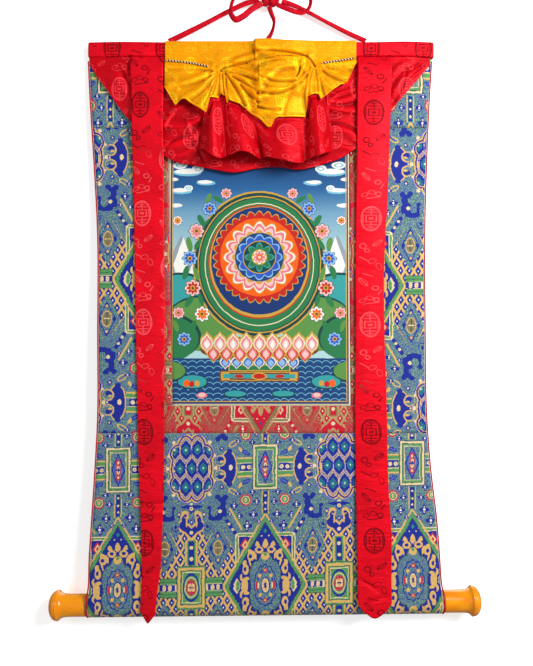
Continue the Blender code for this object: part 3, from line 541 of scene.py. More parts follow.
# The mount: brocade cut as one piece above, two side strips and one piece below, seamed
# edge to edge. It leans forward a little from the heading to the roller.
GAP = 0.3
SEAM_Z = -110.0
FACE_TOP_Y = 2.0
ROLLER_Y, ROLLER_Z, ROLLER_SLOPE = -16.0, -1033.0, 0.011
CLOTH_THICKNESS = 1.6
ROD_RADIUS = 17.6
WRAP_RADIUS = ROD_RADIUS + GAP + CLOTH_THICKNESS
FACE_LEAN = (FACE_TOP_Y - (ROLLER_Y - WRAP_RADIUS)) / (SEAM_Z - ROLLER_Z)
BORDER_TOP, BORDER_BOTTOM = -231.0, -747.0
BORDER_LEFT = (-200.0, -196.0)
BORDER_RIGHT = 192.0
SIDE_EDGES = np.array([
    # height, left, right
    (-110, -296, 286), (-184, -292, 281), (-287, -285, 276), (-423, -277, 271),
    (-575, -275, 270), (-725, -274, 272), (-808, -278, 278), (-890, -283, 287),
    (-960, -286.5, 291.5), (-1005, -287.5, 294.5), (-1036, -291.2, 299)])
BUCKLES = [
    # x, z, half width, half height, depth
    (-255, -330, 60, 120, 2.5), (-262, -640, 50, 130, -2.5), (250, -300, 50, 110, 2.5),
    (262, -560, 45, 120, -2.5), (-240, -880, 70, 70, 2.0), (255, -860, 60, 80, 2.5),
    (0, -850, 120, 60, -1.5)]


def flat_y(z):
    return FACE_TOP_Y + (z - SEAM_Z) * FACE_LEAN


def face_y(x, z):
    """The mount's face with its slow waves, before any other cloth lies on it."""
    y = flat_y(z)
    for bx, bz, half_width, half_height, depth in BUCKLES:
        y = y + depth * np.exp(-(((x - bx) / half_width) ** 2) - ((z - bz) / half_height) ** 2)
    return y


def sag(z):
    """How much of the roller's slope the cloth takes at this height."""
    share = np.clip((BORDER_BOTTOM - z) / (BORDER_BOTTOM - ROLLER_Z), 0, 1)
    return share * share * (3 - 2 * share) * ROLLER_SLOPE


def under_heading(x):
    return read(HEADING_OUTLINE, x, 2) - GAP


def painted_fold_shade(y, reach, depth):
    """Painted shade and highlight for each point of a folded sheet: 1 on its level parts,
    darker the deeper it lies behind the cloth within `reach` points of it, down to 0.22,
    and lighter where it stands out in front, up to 1.2."""
    near = y
    weights = np.hanning(2 * reach + 3)[1:-1]
    for axis in (0, 1):
        near = np.apply_along_axis(lambda line: np.convolve(
            np.pad(line, reach, mode="edge"), weights / weights.sum(), "valid"), axis, near)
    return np.clip(1.0 - (y - near) / depth, 0.22, 1.2)


def cloth(name, columns, rows, place, thickness, finishes, behind=True, painted_shade=None):
    """A sheet of cloth. `place` turns u and v, from 0 to 1, into x, y, z and the flat
    cloth's own across and along. The last setting, if given, is the reach and depth of the
    shade and highlight painted into its folds."""
    u, v = np.meshgrid(np.linspace(0, 1, columns + 1), np.linspace(0, 1, rows + 1))
    x, y, z, across, along = np.broadcast_arrays(*place(u, v))
    points = np.stack([x, y, z], axis=-1).reshape(-1, 3) * MM
    corner = np.arange(points.shape[0]).reshape(rows + 1, columns + 1)
    faces = np.stack([corner[:-1, :-1], corner[1:, :-1], corner[1:, 1:], corner[:-1, 1:]],
                     axis=-1).reshape(-1, 4)
    mesh = bpy.data.meshes.new(name)
    mesh.from_pydata(points.tolist(), [], faces.tolist())
    flat = np.stack([across, along], axis=-1).reshape(-1, 2) * MM
    mesh.uv_layers.new(name="cloth").data.foreach_set("uv", flat[faces.reshape(-1)].ravel())
    # Painted shade in the troughs of its folds and painted highlight on their ridges, kept on its
    # points.
    if painted_shade:
        tint = mesh.attributes.new("painted_shade", "FLOAT", "POINT")
        tint.data.foreach_set("value", painted_fold_shade(y, *painted_shade).ravel())
    made = finished(name, mesh, *finishes)
    wall = made.modifiers.new("thickness", "SOLIDIFY")
    wall.thickness = thickness * MM
    wall.offset = -1.0 if behind else 1.0
    wall.material_offset = len(finishes) - 1
    bpy.context.view_layer.objects.active = made
    bpy.ops.object.modifier_apply(modifier="thickness")
    return made


def mount_left(z):
    return read(SIDE_EDGES, z, 1)


def mount_right(z):
    return read(SIDE_EDGES, z, 2)


def border_left(z):
    share = (z - BORDER_TOP) / (BORDER_BOTTOM - BORDER_TOP)
    return BORDER_LEFT[0] + (BORDER_LEFT[1] - BORDER_LEFT[0]) * share


def border_right(z):
    return BORDER_RIGHT + 0.0 * z


def panel(name, finishes, top, bottom, left, right, repeat, columns, rows):
    """One flat cut piece. `repeat` places the pattern: x and z of a medallion's middle
    and the pattern's width, height and tilt against its chart."""
    x0, z0, wide, tall, tilt = repeat

    def place(u, v):
        z = top + (bottom - top) * v
        x = left(z) + (right(z) - left(z)) * u
        tucked = (under_heading(x) - SEAM_Z) * (1 - v) if top == SEAM_Z else 0.0
        return (x, face_y(x, z), z + tucked + sag(z) * x,
                (x - x0) / wide, (z - z0 - tilt * (x - x0)) / tall)

    made = cloth(name, columns, rows, place, CLOTH_THICKNESS, finishes)
    stands_for(name.replace("_cloth", ""))
    return made


# The brocade's repeat is mirrored both ways, so a quarter of it is charted, from the
# middle of a tall box (x and z both 0) to the middle of the next one across and down.
REPEAT_X, REPEAT_Z = 125.0, 199.0
THREAD = 0.9


def weave_in(finish, colour, place, rows, dyes):
    """Lays the chart's figures over the colour, one after another."""
    for shape, x, z, half_x, half_z, dye, *drawn in rows:
        on = figure(finish, place, shape, x, z, half_x, half_z, *drawn)
        colour = finish.mix(on, colour, dyes[dye], label=dye)
    return colour


def lattice(finish, place, step_x, step_z, colour, bands, dyes, within, slope=None):
    """A net of diamonds inside `within`. Each band is dyed outward of a share of the way
    from the net's lines to the middles of its cells. A `slope` less steep than the
    diamonds' makes them six-sided, with upright sides."""
    across = finish.math("PINGPONG", finish.part(place, 0), step_x)
    along = finish.math("PINGPONG", finish.part(place, 1), step_z)
    steep = slope or step_z / step_x
    reach = (step_x * steep + step_z) / 2
    away = finish.math("MULTIPLY_ADD", across, steep / reach,
                       finish.math("MULTIPLY_ADD", along, 1 / reach, -1.0))
    if slope:
        own = finish.math("LESS_THAN", away, 0.0)
        side = finish.math("ABSOLUTE", finish.math("MULTIPLY_ADD", own, -step_x, across))
        away = finish.math("MINIMUM", finish.math("ABSOLUTE", away),
                           finish.math("MULTIPLY", side, 1.4 / step_x))
    else:
        away = finish.math("ABSOLUTE", away)
    for share, dye in bands:
        on = finish.math("MULTIPLY", finish.math("GREATER_THAN", away, share), within)
        colour = finish.mix(on, colour, dyes[dye], label=dye)
    return colour


def nested(shape, x, z, *sizes):
    """Figures of one shape round one middle, in the order that they are laid."""
    return [(shape, x, z, *size) for size in sizes]


# Every row: shape, x, z, half width, half height and dye, then any outline width (a
# flower's notch) and turn.
TALL_BOX = [
    *nested("box", 0, 0, (21.6, 38.6, "dark"), (20.4, 37.4, "cream"), (17.2, 34.2, "dark"),
        (16.2, 33, "green"), (13.6, 29.6, "cream", 1.1), (12.6, 28.4, "ground")),
    ("diamond", 0, 0, 12.4, 29, "navy"), ("oval", 0, 0, 9.6, 18.6, "navy"),
    ("diamond", 0, 0, 10, 24, "blue"), ("oval", 0, 0, 6.6, 13.6, "ground"),
    ("oval", 0, 13, 4.2, 5.2, "rose"), ("flower6", 0, 3, 5.2, 7.6, "rose", 0.3),
    ("oval", 0, 12.6, 1.9, 2.4, "cream"), ("oval", 0, 3, 2.6, 4.6, "cream"),
    *nested("box", 0, 0, (4.4, 1.2, "navy"), (1, 4, "navy"))]
ARM_BAR = [
    *nested("box", 35, 0, (12.8, 16.8, "gold"), (12.8, 13.8, "green"), (12.8, 7.8, "cream"),
        (12.8, 6.6, "ground")),
    ("box", 33.4, 0, 9.4, 5.6, "navy"), ("oval", 28, 0, 3.4, 3.4, "cream"),
    ("oval", 37.4, 0, 3.4, 3.4, "cream"), ("oval", 28, 0, 1.2, 1.2, "rose"),
    ("oval", 33, 24.5, 8, 3.4, "navy", 0, 25), ("oval", 32.4, 24.3, 5.6, 1.7, "blue", 0, 25),
    ("oval", 42, 30, 5, 2.6, "gold", 0, 60)]
UPRIGHT = [
    *nested("box", 0, 59.5, (6.2, 19.5, "gold"), (4.6, 19.5, "green"), (3.6, 18.5, "navy")),
    ("oval", 0, 47.6, 1.9, 1.9, "cream"), ("oval", 0, 60.5, 1.9, 1.9, "cream"),
    ("oval", 0, 71, 1.9, 1.9, "cream")]
PANEL_BOX = [
    *nested("box", 0, 199, (51, 88.5, "cream"), (49.2, 86.7, "green"), (46, 83.5, "cream"),
        (44.4, 81.9, "navy")),
    *nested("diamond", 34, 131, (9, 12, "rose"), (5.6, 8, "cream"), (3, 5, "rose")),
    ("oval", 39, 146, 2.6, 8, "green", 0, 12)]
RHOMBUS = [
    *nested("diamond", 0, 196, (72, 120, "gold", 3.2), (67.6, 112.6, "green", 5.4),
        (62, 103.6, "dark", 1.3), (60.6, 101, "navy")),
    ("diamond", 48, 196, 6, 10, "cream"), ("diamond", 46.6, 196, 3.6, 7, "green"),
    ("diamond", 0, 108, 3, 4, "teal"), ("oval", 6, 116, 1.2, 1.2, "cream")]
PANEL_FLOWER = [
    ("flower18", 0, 197, 44, 76, "gold", 0.24), ("flower14", 0, 197, 40.5, 71, "navy", 0.3),
    ("flower22", 0, 197, 37.6, 66, "gold", 0.34), ("flower16", 0, 197, 33.4, 61, "navy", 0.2),
    ("oval", 10, 139.5, 7, 6, "gold"), ("oval", 10, 139, 3.4, 2.8, "navy"),
    ("oval", 0, 130, 4.4, 6.4, "gold"), ("oval", 24, 150, 6.6, 7.4, "gold"),
    ("oval", 25, 150, 3, 3.4, "navy"), ("oval", 33, 172, 5.6, 8.4, "gold"),
    ("oval", 34, 171, 2.4, 3.8, "navy"), ("oval", 35, 197, 5.8, 9, "gold"),
    *nested("flower6", 0, 197, (29, 55, "dark", 0.16), (27.6, 53, "ground", 0.16)),
    ("oval", 0, 150, 7, 6.6, "gold"), ("oval", 0, 147, 3, 3, "green"),
    *nested("flower12", 0, 197, (19.4, 34, "navy", 0.1), (17.6, 31.6, "ground", 0.1)),
    ("oval", 0, 197, 13.6, 25, "navy", 1.5),
    *nested("oval", 0, 174, (4, 3.6, "rose"), (2, 1.8, "gold")), ("oval", 9, 183, 2.8, 3.4, "gold"),
    ("oval", 14, 197, 2.6, 5.2, "rose"), ("oval", 11.4, 197, 1.4, 2.6, "cream"),
    *nested("oval", 0, 197, (7, 12, "navy"), (5.4, 10, "cream"), (3.8, 8, "gold"),
        (1.9, 2.8, "navy"))]
SIDE_BAR = [
    *nested("box", 86, 197.5, (15, 14.4, "dark"), (15, 13.4, "green"), (15, 9, "dark", 0.9),
        (14, 4.4, "cream")),
    ("box", 84.6, 197.5, 12.4, 3.6, "navy"), ("oval", 79.5, 197.5, 2.9, 2.9, "cream"),
    ("oval", 89, 197.5, 2.9, 2.9, "cream"), ("oval", 79.5, 197.5, 1.1, 1.1, "gold"),
    ("oval", 89, 197.5, 1.1, 1.1, "gold")]
GOLD_BOX = [
    *nested("box", 125, 199.4, (25, 36.6, "dark"), (24, 35.6, "green"), (22.4, 33.6, "gold"),
        (18.2, 29.2, "dark"), (17.2, 28.2, "green"), (15.4, 26.4, "cream", 0.9)),
    *nested("oval", 125, 199.4, (14.2, 24, "navy"), (12.4, 19.8, "green"),
        (11, 17.6, "cream", 1.1)),
    ("flower10", 125, 199.4, 9.6, 14.6, "rose", 0.2),
    ("flower6", 125, 199.4, 6.6, 10.4, "cream", 0.3), ("oval", 125, 199.4, 4.4, 6.6, "gold"),
    ("oval", 125, 191, 1.7, 2.2, "rose"), ("box", 125, 199.4, 3.4, 1.5, "navy"),
    *nested("box", 125, 141.5, (11.6, 20.6, "green"), (10.2, 21, "gold"), (7.4, 21, "green")),
    ("box", 125, 142, 4.9, 19.5, "navy"), ("oval", 125, 132.7, 3.1, 3.1, "cream"),
    ("oval", 125, 151.5, 3.1, 3.1, "cream")]
PALMETTE = [
    ("oval", 125, 96, 23.4, 14.6, "gold"), ("diamond", 125, 99, 20.6, 22.4, "gold"),
    ("oval", 114.6, 82, 8, 11, "gold"), ("oval", 115.2, 78.6, 6, 6.6, "gold"),
    ("oval", 125, 96, 20.6, 11.8, "navy"), ("diamond", 125, 98.4, 17.6, 18.6, "navy"),
    ("oval", 113.6, 86, 5.2, 8, "navy"), ("oval", 115.4, 79.4, 3.8, 3.8, "gold"),
    ("oval", 114.6, 79, 2.6, 2.6, "navy"), ("oval", 125, 80, 5.4, 11.6, "ground"),
    ("oval", 116.8, 90, 1.6, 8.4, "gold"), ("diamond", 125, 94, 7.6, 7.6, "gold"),
    ("diamond", 125, 91, 5.6, 6.6, "ground"), ("diamond", 125, 90, 3, 4.6, "navy"),
    ("oval", 125, 89.8, 1.2, 1.4, "white"), ("oval", 125, 107.7, 3.2, 3.2, "cream"),
    ("oval", 125, 64.6, 18, 3.4, "navy"), ("diamond", 125, 70, 5.6, 6, "navy"),
    *nested("oval", 125, 68, (3.3, 3.3, "cream"), (1.4, 1.4, "rose")),
    ("diamond", 104, 77.3, 3.4, 6.4, "navy"), ("oval", 104, 77.3, 1.7, 2.1, "cream"),
    ("oval", 97.6, 99.6, 6.8, 6.4, "navy", 1.5), ("oval", 98, 94, 7.4, 4.4, "ground"),
    ("oval", 98, 98, 2.4, 3.4, "navy")]
LOBES = [(115, 30.6, 14.5, 25.5), (103, 25, 15.3, 15.3), (125, 0, 35, 43)]
LOBED_EDGE = [("oval", x, z, half_x + grow, half_z + grow, dye)
              for grow, dye in ((2.4, "gold"), (0, "navy"), (-2.6, "gold"), (-3.9, "green"))
              for x, z, half_x, half_z in LOBES]
BEAD_CHAIN = [
    ("oval", 125, 0, 45, 61, "blue", 1.6), ("oval", 125, 61, 3, 3, "cream"),
    ("oval", 94.5, 44, 3, 3, "cream"), ("oval", 83.6, 0, 3.4, 3.4, "cream"),
    ("oval", 85.5, 21, 2.2, 2.2, "cream")]
C_SCROLL = [
    *nested("oval", 62.6, 0, (15, 29.4, "gold"), (13, 27.2, "navy")),
    ("oval", 76.4, -12, 9.6, 9.4, "gold"), ("oval", 76.4, 12, 9.6, 9.4, "gold"),
    ("oval", 77.4, -12, 8.2, 7.6, "ground"), ("oval", 77.4, 12, 8.2, 7.6, "ground"),
    ("box", 71, 0, 8, 2.6, "navy"), *nested("oval", 78, 0, (3, 3, "navy"), (1.5, 1.5, "cream")),
    ("oval", 75.6, 14.4, 5.4, 4.2, "navy"), ("oval", 75.6, -14.4, 5.4, 4.2, "navy"),
    ("oval", 73.6, 10.4, 3.4, 1.8, "gold"), ("oval", 73.6, -10.4, 3.4, 1.8, "gold"),
    ("oval", 58.6, 0, 3.1, 4.8, "cream"), ("oval", 61, 27, 4.8, 4.8, "navy"),
    ("oval", 61, -27, 4.8, 4.8, "navy"),
    *nested("oval", 74, 32, (3.6, 3.6, "navy"), (1.6, 1.6, "cream")),
    *nested("oval", 54.5, 40, (9, 4.4, "gold", 0, 150), (6.8, 2.6, "ground", 0, 150))]
CURLS = [
    ("oval", 74.6, 75, 9.8, 12, "navy"), ("oval", 85, 83.4, 12, 5.6, "navy"),
    ("box", 93.6, 76, 2, 9, "navy"), ("oval", 95, 66, 3.8, 2.6, "navy"),
    ("oval", 86.2, 73.4, 6, 7.6, "ground"), ("oval", 71.6, 60, 4.8, 10, "navy"),
    ("oval", 68, 50, 4.8, 4.8, "navy"), ("oval", 80.6, 48.8, 4.6, 4.2, "navy"),
    ("oval", 74, 53, 7, 3.6, "navy"), ("oval", 77, 73, 3.1, 3.1, "cream"),
    ("oval", 69, 84.6, 3.4, 3, "ground"), ("flower12", 33, 55, 10.4, 10.4, "rose", 0.24),
    *nested("oval", 33, 55, (7, 7, "cream"), (5.8, 5.8, "green"), (2.2, 3, "cream"),
        (1, 1.6, "rose"))]
FLORETS = [row for x, z, size in (
    (53, 64, 7), (14.6, 58, 6), (20, 80, 8), (44, 82, 6.4), (31, 99, 8.6), (21.8, 42, 5.6),
    (46, 44, 5), (60, 96, 5), (10.5, 92, 4.4), (60, 78, 4.4)) for row in (
        ("flower4", x, z, size, size * 1.1, "navy", 0.62),
        ("oval", x, z, size * 0.24, size * 0.24, "white"),
        ("oval", x, z + size * 0.56, size * 0.16, size * 0.16, "cream"),
        ("oval", x, z - size * 0.56, size * 0.16, size * 0.16, "cream"))]
BEAD_BAND = [
    ("box", 50, 86.3, 21, 1.5, "gold", 0, 120), ("box", 44, 90, 20, 1, "green", 0, 120)]
BEADS = [row for x, z in ((64.7, 89.8), (58.3, 99.6), (51.9, 109.6))
         for row in (("box", x, z, 3.4, 3.2, "navy", 0, 123),
                     ("oval", x - 3.2, z + 4.8, 2.2, 2.2, "cream"))]
LOZENGE = [
    *nested("diamond", 80, 134, (22.4, 42, "ground"), (15, 28, "navy", 1.5)),
    ("diamond", 80, 112, 4.4, 6, "navy"), ("diamond", 80, 156, 4.4, 6, "navy"),
    ("diamond", 68.8, 134, 2.8, 4.8, "navy"), ("diamond", 91.2, 134, 2.8, 4.8, "navy"),
    *nested("oval", 80, 134, (8, 13, "gold"), (6.6, 11.4, "olive")),
    *nested("box", 80, 134, (0.7, 9.6, "dark"), (5, 0.8, "cream")),
    ("oval", 80, 114, 2, 2.4, "gold"), ("oval", 80, 154.6, 2, 2.4, "gold")]
NET_BANDS = [(-1.0, "gold"), (0.30, "dark"), (0.36, "navy"), (0.82, "white")]
OGEE_BANDS = [(-1.0, "navy"), (0.03, "gold"), (0.09, "blue"), (0.14, "cream"), (0.18, "navy"),
              (0.56, "teal"), (0.66, "navy"), (0.74, "teal"), (0.92, "white")]


def brocade_weave(name, dyes):
    """The brocade in one set of colours."""
    finish = Finish(name, 0.58, 0.2, metallic=0.15, sheen_weight=0.1, sheen_roughness=0.5)
    flat = finish.cloth_place()
    flat = finish.vector("SNAP", flat, (THREAD, THREAD, 1.0))
    place = finish.wander(flat, 0.06, 1.0, 2.4)
    place = finish.add("CombineXYZ", {
        0: finish.math("PINGPONG", finish.part(place, 0), REPEAT_X),
        1: finish.math("PINGPONG", finish.part(place, 1), REPEAT_Z)})
    twill = finish.noise(finish.vector("MULTIPLY", flat, (1.0, 0.45, 1.0)), 1.5, 2.0, 0.6)
    broad = finish.noise(flat, 22.0, 2.0)
    woven = finish.mix(finish.spread(twill, 0.44, 0.56), dyes["weft"], dyes["warp"], label="warp")
    woven = finish.mix(finish.spread(broad, 0.45, 0.62), woven, dyes["slub"], label="slub")
    curl = finish.math("SINE", finish.math("MULTIPLY", finish.noise(flat, 5.2, 1.0, 0.5), 44.0))
    woven = finish.mix(finish.math("GREATER_THAN", curl, 0.35), woven, dyes["sprig"], label="sprig")
    dyes = dict(dyes, ground=woven)
    net = finish.math("MAXIMUM", figure(finish, place, "diamond", 125, 199, 74, 124),
                      figure(finish, place, "diamond", 80, 160, 42, 66))
    colour = lattice(finish, place, 7.1, 11.7, woven, NET_BANDS, dyes, net)
    colour = weave_in(finish, colour, place, PANEL_BOX + RHOMBUS + PANEL_FLOWER, dyes)
    colour = weave_in(finish, colour, place, LOBED_EDGE, dyes)
    field = None
    for x, z, half_x, half_z in LOBES:
        lobe = figure(finish, place, "oval", x, z, half_x - 3.9, half_z - 3.9)
        field = lobe if field is None else finish.math("MAXIMUM", field, lobe)
    moved = finish.vector("ADD", place, (-125.0, 0, 0))
    colour = lattice(finish, moved, 9.9, 31.0, colour, OGEE_BANDS, dyes, field, slope=1.2)
    colour = weave_in(finish, colour, place, UPRIGHT + TALL_BOX + BEAD_CHAIN + ARM_BAR
                      + C_SCROLL + CURLS + FLORETS + BEAD_BAND + BEADS + LOZENGE + PALMETTE
                      + SIDE_BAR + GOLD_BOX, dyes)
    speckle = finish.noise(flat, 1.3, 2.0, 0.7)
    finish.colour(colour, finish.math("MULTIPLY_ADD", finish.spread(speckle, 0.1, 0.9), 1.2, 0.4))
    threads = finish.math("SINE", finish.math(
        "MULTIPLY", finish.part(finish.cloth_place(), 1), 2 * math.pi / THREAD))
    finish.bump(finish.math("MULTIPLY_ADD", threads, 0.25, speckle), 0.22)
    return finish


BLUE_DYES = palette(
    navy=(26, 44, 150), green=(92, 156, 92), dark=(44, 80, 88), gold=(228, 184, 108),
    cream=(238, 214, 166), rose=(200, 46, 70), blue=(84, 108, 200), teal=(44, 140, 134),
    olive=(136, 124, 92), white=(250, 244, 236), weft=(138, 180, 130), warp=(84, 124, 128),
    slub=(104, 142, 144), sprig=(66, 84, 158))
brocade = brocade_weave("blue brocade", BLUE_DYES)
brocade_back = Finish("back of the brocade", 0.85)
back_place = brocade_back.cloth_place()
floats = brocade_back.noise(brocade_back.vector("MULTIPLY", back_place, (1, 0.12, 1)), 1.2, 3.0)
blotches = brocade_back.noise(back_place, 18.0)
shown = brocade_back.spread(floats, 0.4, 0.6)
ground = brocade_back.mix(brocade_back.spread(blotches, 0.4, 0.6), linear(70, 84, 120),
                          linear(96, 112, 100))
brocade_back.colour(brocade_back.mix(shown, ground, linear(170, 156, 128)))
brocade_back.bump(floats, 0.3)
BROCADE = (brocade, brocade_back)
panel("brocade_top_cloth", BROCADE, SEAM_Z, BORDER_TOP, mount_left, mount_right,
      (-260, -127.5, 1.02, 1.2, 0.0), 116, 24)
panel("brocade_left_cloth", BROCADE, BORDER_TOP - GAP, BORDER_BOTTOM, mount_left, border_left,
      (-179, -282, 1.04, 1.04, 0.0), 20, 104)
panel("brocade_right_cloth", BROCADE, BORDER_TOP - GAP, BORDER_BOTTOM,
      lambda z: border_right(z) + GAP, mount_right,
      (165.6, -294, 1.027, 1.035, 0.0), 20, 104)

# The lowest piece of brocade: its foot goes round the rod and is hemmed up behind as a
# sleeve.
SLEEVE_EASE, SLEEVE_TURN, SLEEVE_RISE = 18.0, 220.0, 1.2
HEM_START, HEM_WIDTH, HEM_GAP, HEM_INSET = 4.0, 16.0, 0.8, 3.0
RUN_ROWS, TURN_ROWS, HEM_ROWS = 52, 40, 6
lean = math.atan(FACE_LEAN)
run = [(flat_y(z), z) for z in np.linspace(BORDER_BOTTOM - GAP, ROLLER_Z + SLEEVE_EASE, RUN_ROWS)]
around = [(ROLLER_Y - WRAP_RADIUS * math.cos(a), ROLLER_Z - WRAP_RADIUS * math.sin(a))
          for a in np.linspace(-lean, math.radians(SLEEVE_TURN), TURN_ROWS)]
end_y, end_z = around[-1]
join_z = end_z + (end_y - flat_y(end_z)) * SLEEVE_RISE
hem = [(flat_y(z) + 2 * CLOTH_THICKNESS + HEM_GAP, z)
       for z in np.linspace(join_z + HEM_START, join_z + HEM_WIDTH, HEM_ROWS)]
sleeve = np.array(run + around + hem)
sleeve_steps = np.linspace(0, 1, len(sleeve))
sleeve_lengths = np.concatenate([[0], np.cumsum(np.linalg.norm(np.diff(sleeve, axis=0), axis=1))])
turned, hemmed = sleeve_steps[RUN_ROWS], sleeve_steps[RUN_ROWS + TURN_ROWS - 1]
LOWEST_REPEAT = (3.45, -802.7, 0.979, 0.979, 0.022)


def lowest_place(u, v):
    y = np.interp(v, sleeve_steps, sleeve[:, 0])
    z = np.interp(v, sleeve_steps, sleeve[:, 1])
    width_z = np.where((v < turned) | (v > hemmed), z, ROLLER_Z)
    inset = np.where(v > hemmed, HEM_INSET, 0.0)
    left, right = mount_left(width_z) + inset, mount_right(width_z) - inset
    x = left + (right - left) * u
    waves = np.where(v < turned, face_y(x, z) - flat_y(z), 0.0)
    along = BORDER_BOTTOM - GAP - np.interp(v, sleeve_steps, sleeve_lengths)
    x0, z0, wide, tall, tilt = LOWEST_REPEAT
    return (x, y + waves, z + np.where(v < turned, sag(z), ROLLER_SLOPE) * x,
            (x - x0) / wide, (along - z0 - tilt * (x - x0)) / tall)


lowest = cloth("brocade_bottom_cloth", 110, len(sleeve) - 1, lowest_place, CLOTH_THICKNESS, BROCADE)
stands_for("brocade_bottom")


# The inner border: four strips of the same brocade in its red colours, seamed round the
# painting with a thin cream edge.
PAINTING_TOP, PAINTING_BOTTOM = -270.0, -701.0
PAINTING_EDGES = np.array([(-270, -161, 145), (-440, -157, 145), (-701, -151, 146)])
BORDER_REPEAT = (-4.1, -837.0, 0.968, 0.98, 0.0)


def painting_left(z):
    return read(PAINTING_EDGES, z, 1)


def painting_right(z):
    return read(PAINTING_EDGES, z, 2)


RED_DYES = palette(
    navy=(206, 18, 48), green=(142, 122, 82), dark=(96, 84, 52), gold=(188, 156, 104),
    cream=(226, 214, 178), rose=(210, 20, 46), blue=(96, 66, 146), teal=(92, 64, 140),
    white=(246, 236, 226), weft=(176, 120, 84), warp=(184, 62, 64), slub=(164, 96, 80),
    sprig=(190, 40, 58), olive=(150, 120, 90))
red_brocade = Finish.__new__(Finish)
red_brocade.material = brocade.material.copy()
red_brocade.material.name = "red brocade"
for node in red_brocade.material.node_tree.nodes:
    if node.label in RED_DYES:
        node.inputs[7].default_value = RED_DYES[node.label]
    if node.label == "warp":
        node.inputs[6].default_value = RED_DYES["weft"]
BORDER = (red_brocade, brocade_back)
panel("border_top_cloth", BORDER, BORDER_TOP - GAP, PAINTING_TOP,
      lambda z: border_left(z) + GAP, border_right, BORDER_REPEAT, 78, 8)
panel("border_left_cloth", BORDER, PAINTING_TOP - GAP, PAINTING_BOTTOM,
      lambda z: border_left(z) + GAP, lambda z: painting_left(z) - GAP,
      BORDER_REPEAT, 10, 86)
panel("border_right_cloth", BORDER, PAINTING_TOP - GAP, PAINTING_BOTTOM,
      lambda z: painting_right(z) + GAP, border_right,
      BORDER_REPEAT, 10, 86)
panel("border_bottom_cloth", BORDER, PAINTING_BOTTOM - GAP, BORDER_BOTTOM,
      lambda z: border_left(z) + GAP, border_right, BORDER_REPEAT, 78, 9)


# The painting: colours in glue on primed cotton. Its design is this scene's own: a lotus
# mandala under clouds, with flowers round it, hills, and water below.
PAINTS = palette(
    night=(16, 52, 112), sky=(44, 120, 176), haze=(176, 214, 214), white=(242, 242, 234),
    cloud=(120, 190, 214), rock=(150, 160, 170), gold=(206, 160, 62), leaf=(40, 122, 72),
    dark=(14, 66, 66), moss=(92, 146, 70), orange=(250, 98, 8), red=(196, 32, 24),
    rose=(230, 120, 130), pink=(244, 196, 190), blue=(40, 90, 190), pale=(140, 186, 232),
    water=(20, 66, 120), turquoise=(52, 160, 160), cream=(236, 222, 184), brown=(120, 62, 30))
CLOUDS = [
    # as the brocade's rows, and on both sides of the middle
    ("oval", 122, 178, 24, 6.5, "cloud"), ("oval", 122, 179.5, 22, 4.5, "white"),
    *nested("oval", 104, 184, (10, 6.5, "white"), (6, 3.8, "cloud", 1.4)),
    *nested("oval", 134, 190, (12, 6, "white"), (8, 3.6, "cloud", 1.4)),
    ("oval", 90, 160, 16, 4.4, "cloud"), ("oval", 92, 161.5, 13, 3, "white"),
    ("oval", 132, 146, 18, 5, "cloud"), ("oval", 134, 147.5, 15, 3.4, "white"),
    *nested("oval", 120, 151, (7.5, 5, "white"), (4.4, 2.8, "cloud", 1.2)),
    ("oval", 68, 190, 14, 4, "cloud"), ("oval", 70, 191.2, 11, 2.8, "white"),
    ("oval", 146, 166, 9, 3, "white"), ("oval", 142, 122, 12, 3.4, "white")]
LAND = [
    ("diamond", 132, 20, 24, 52, "rock"), ("diamond", 128, 20, 17, 48, "white"),
    ("diamond", 108, 6, 20, 40, "rock"), ("diamond", 105, 6, 14, 36, "white"),
    ("oval", 132, -44, 62, 52, "dark"), ("oval", 134, -47, 60, 51, "turquoise"),
    ("oval", 96, -76, 62, 46, "dark"), ("oval", 98, -79, 60, 45, "moss"),
    ("oval", 146, -100, 48, 38, "dark"), ("oval", 148, -103, 46, 37, "leaf")]
HALO = [
    *nested("oval", 0, 22, (112, 124, "gold"), (109, 121, "dark"), (104, 116, "gold", 2),
        (100, 112, "leaf"), (92, 104, "cream", 1.6)),
    *nested("oval", 0, 26, (86, 96, "red"), (84, 94, "gold")), ("oval", 0, 28, 81, 91, "night")]
ROSETTES = [(shape, 0, 34, reach, reach, paint, notch) for shape, reach, paint, notch in (
    ("flower32", 79, "gold", 0.09), ("flower32", 77, "red", 0.09), ("oval", 66, "orange", 0),
    ("flower16", 62, "gold", 0.16), ("flower16", 60, "white", 0.17), ("flower16", 57, "rose", 0.17),
    ("flower16", 52, "pink", 0.19), ("flower16", 46, "gold", 0.13), ("oval", 41, "water", 0),
    ("flower12", 39, "pale", 0.18), ("flower12", 36.5, "blue", 0.18), ("oval", 28, "gold", 0),
    ("oval", 26.5, "dark", 0), ("flower8", 25, "turquoise", 0.4), ("flower8", 22.5, "leaf", 0.42),
    ("oval", 13, "gold", 0), ("flower8", 12, "white", 0.4), ("flower8", 10, "rose", 0.45),
    ("oval", 5, "orange", 0), ("oval", 2.4, "cream", 0))]
FLOWERS = [
    # x, z, reach, outer paint, inner paint; both sides of the middle
    (84, 116, 13, "pale", "blue"), (106, 78, 14, "pink", "rose"), (117, 32, 14, "pale", "blue"),
    (112, -18, 15, "pink", "red"), (96, -62, 14, "white", "orange"), (126, -104, 13, "pale", "blue"),
    (56, 142, 10, "pink", "rose"), (136, -60, 11, "pink", "rose"), (138, 96, 9, "white", "orange")]
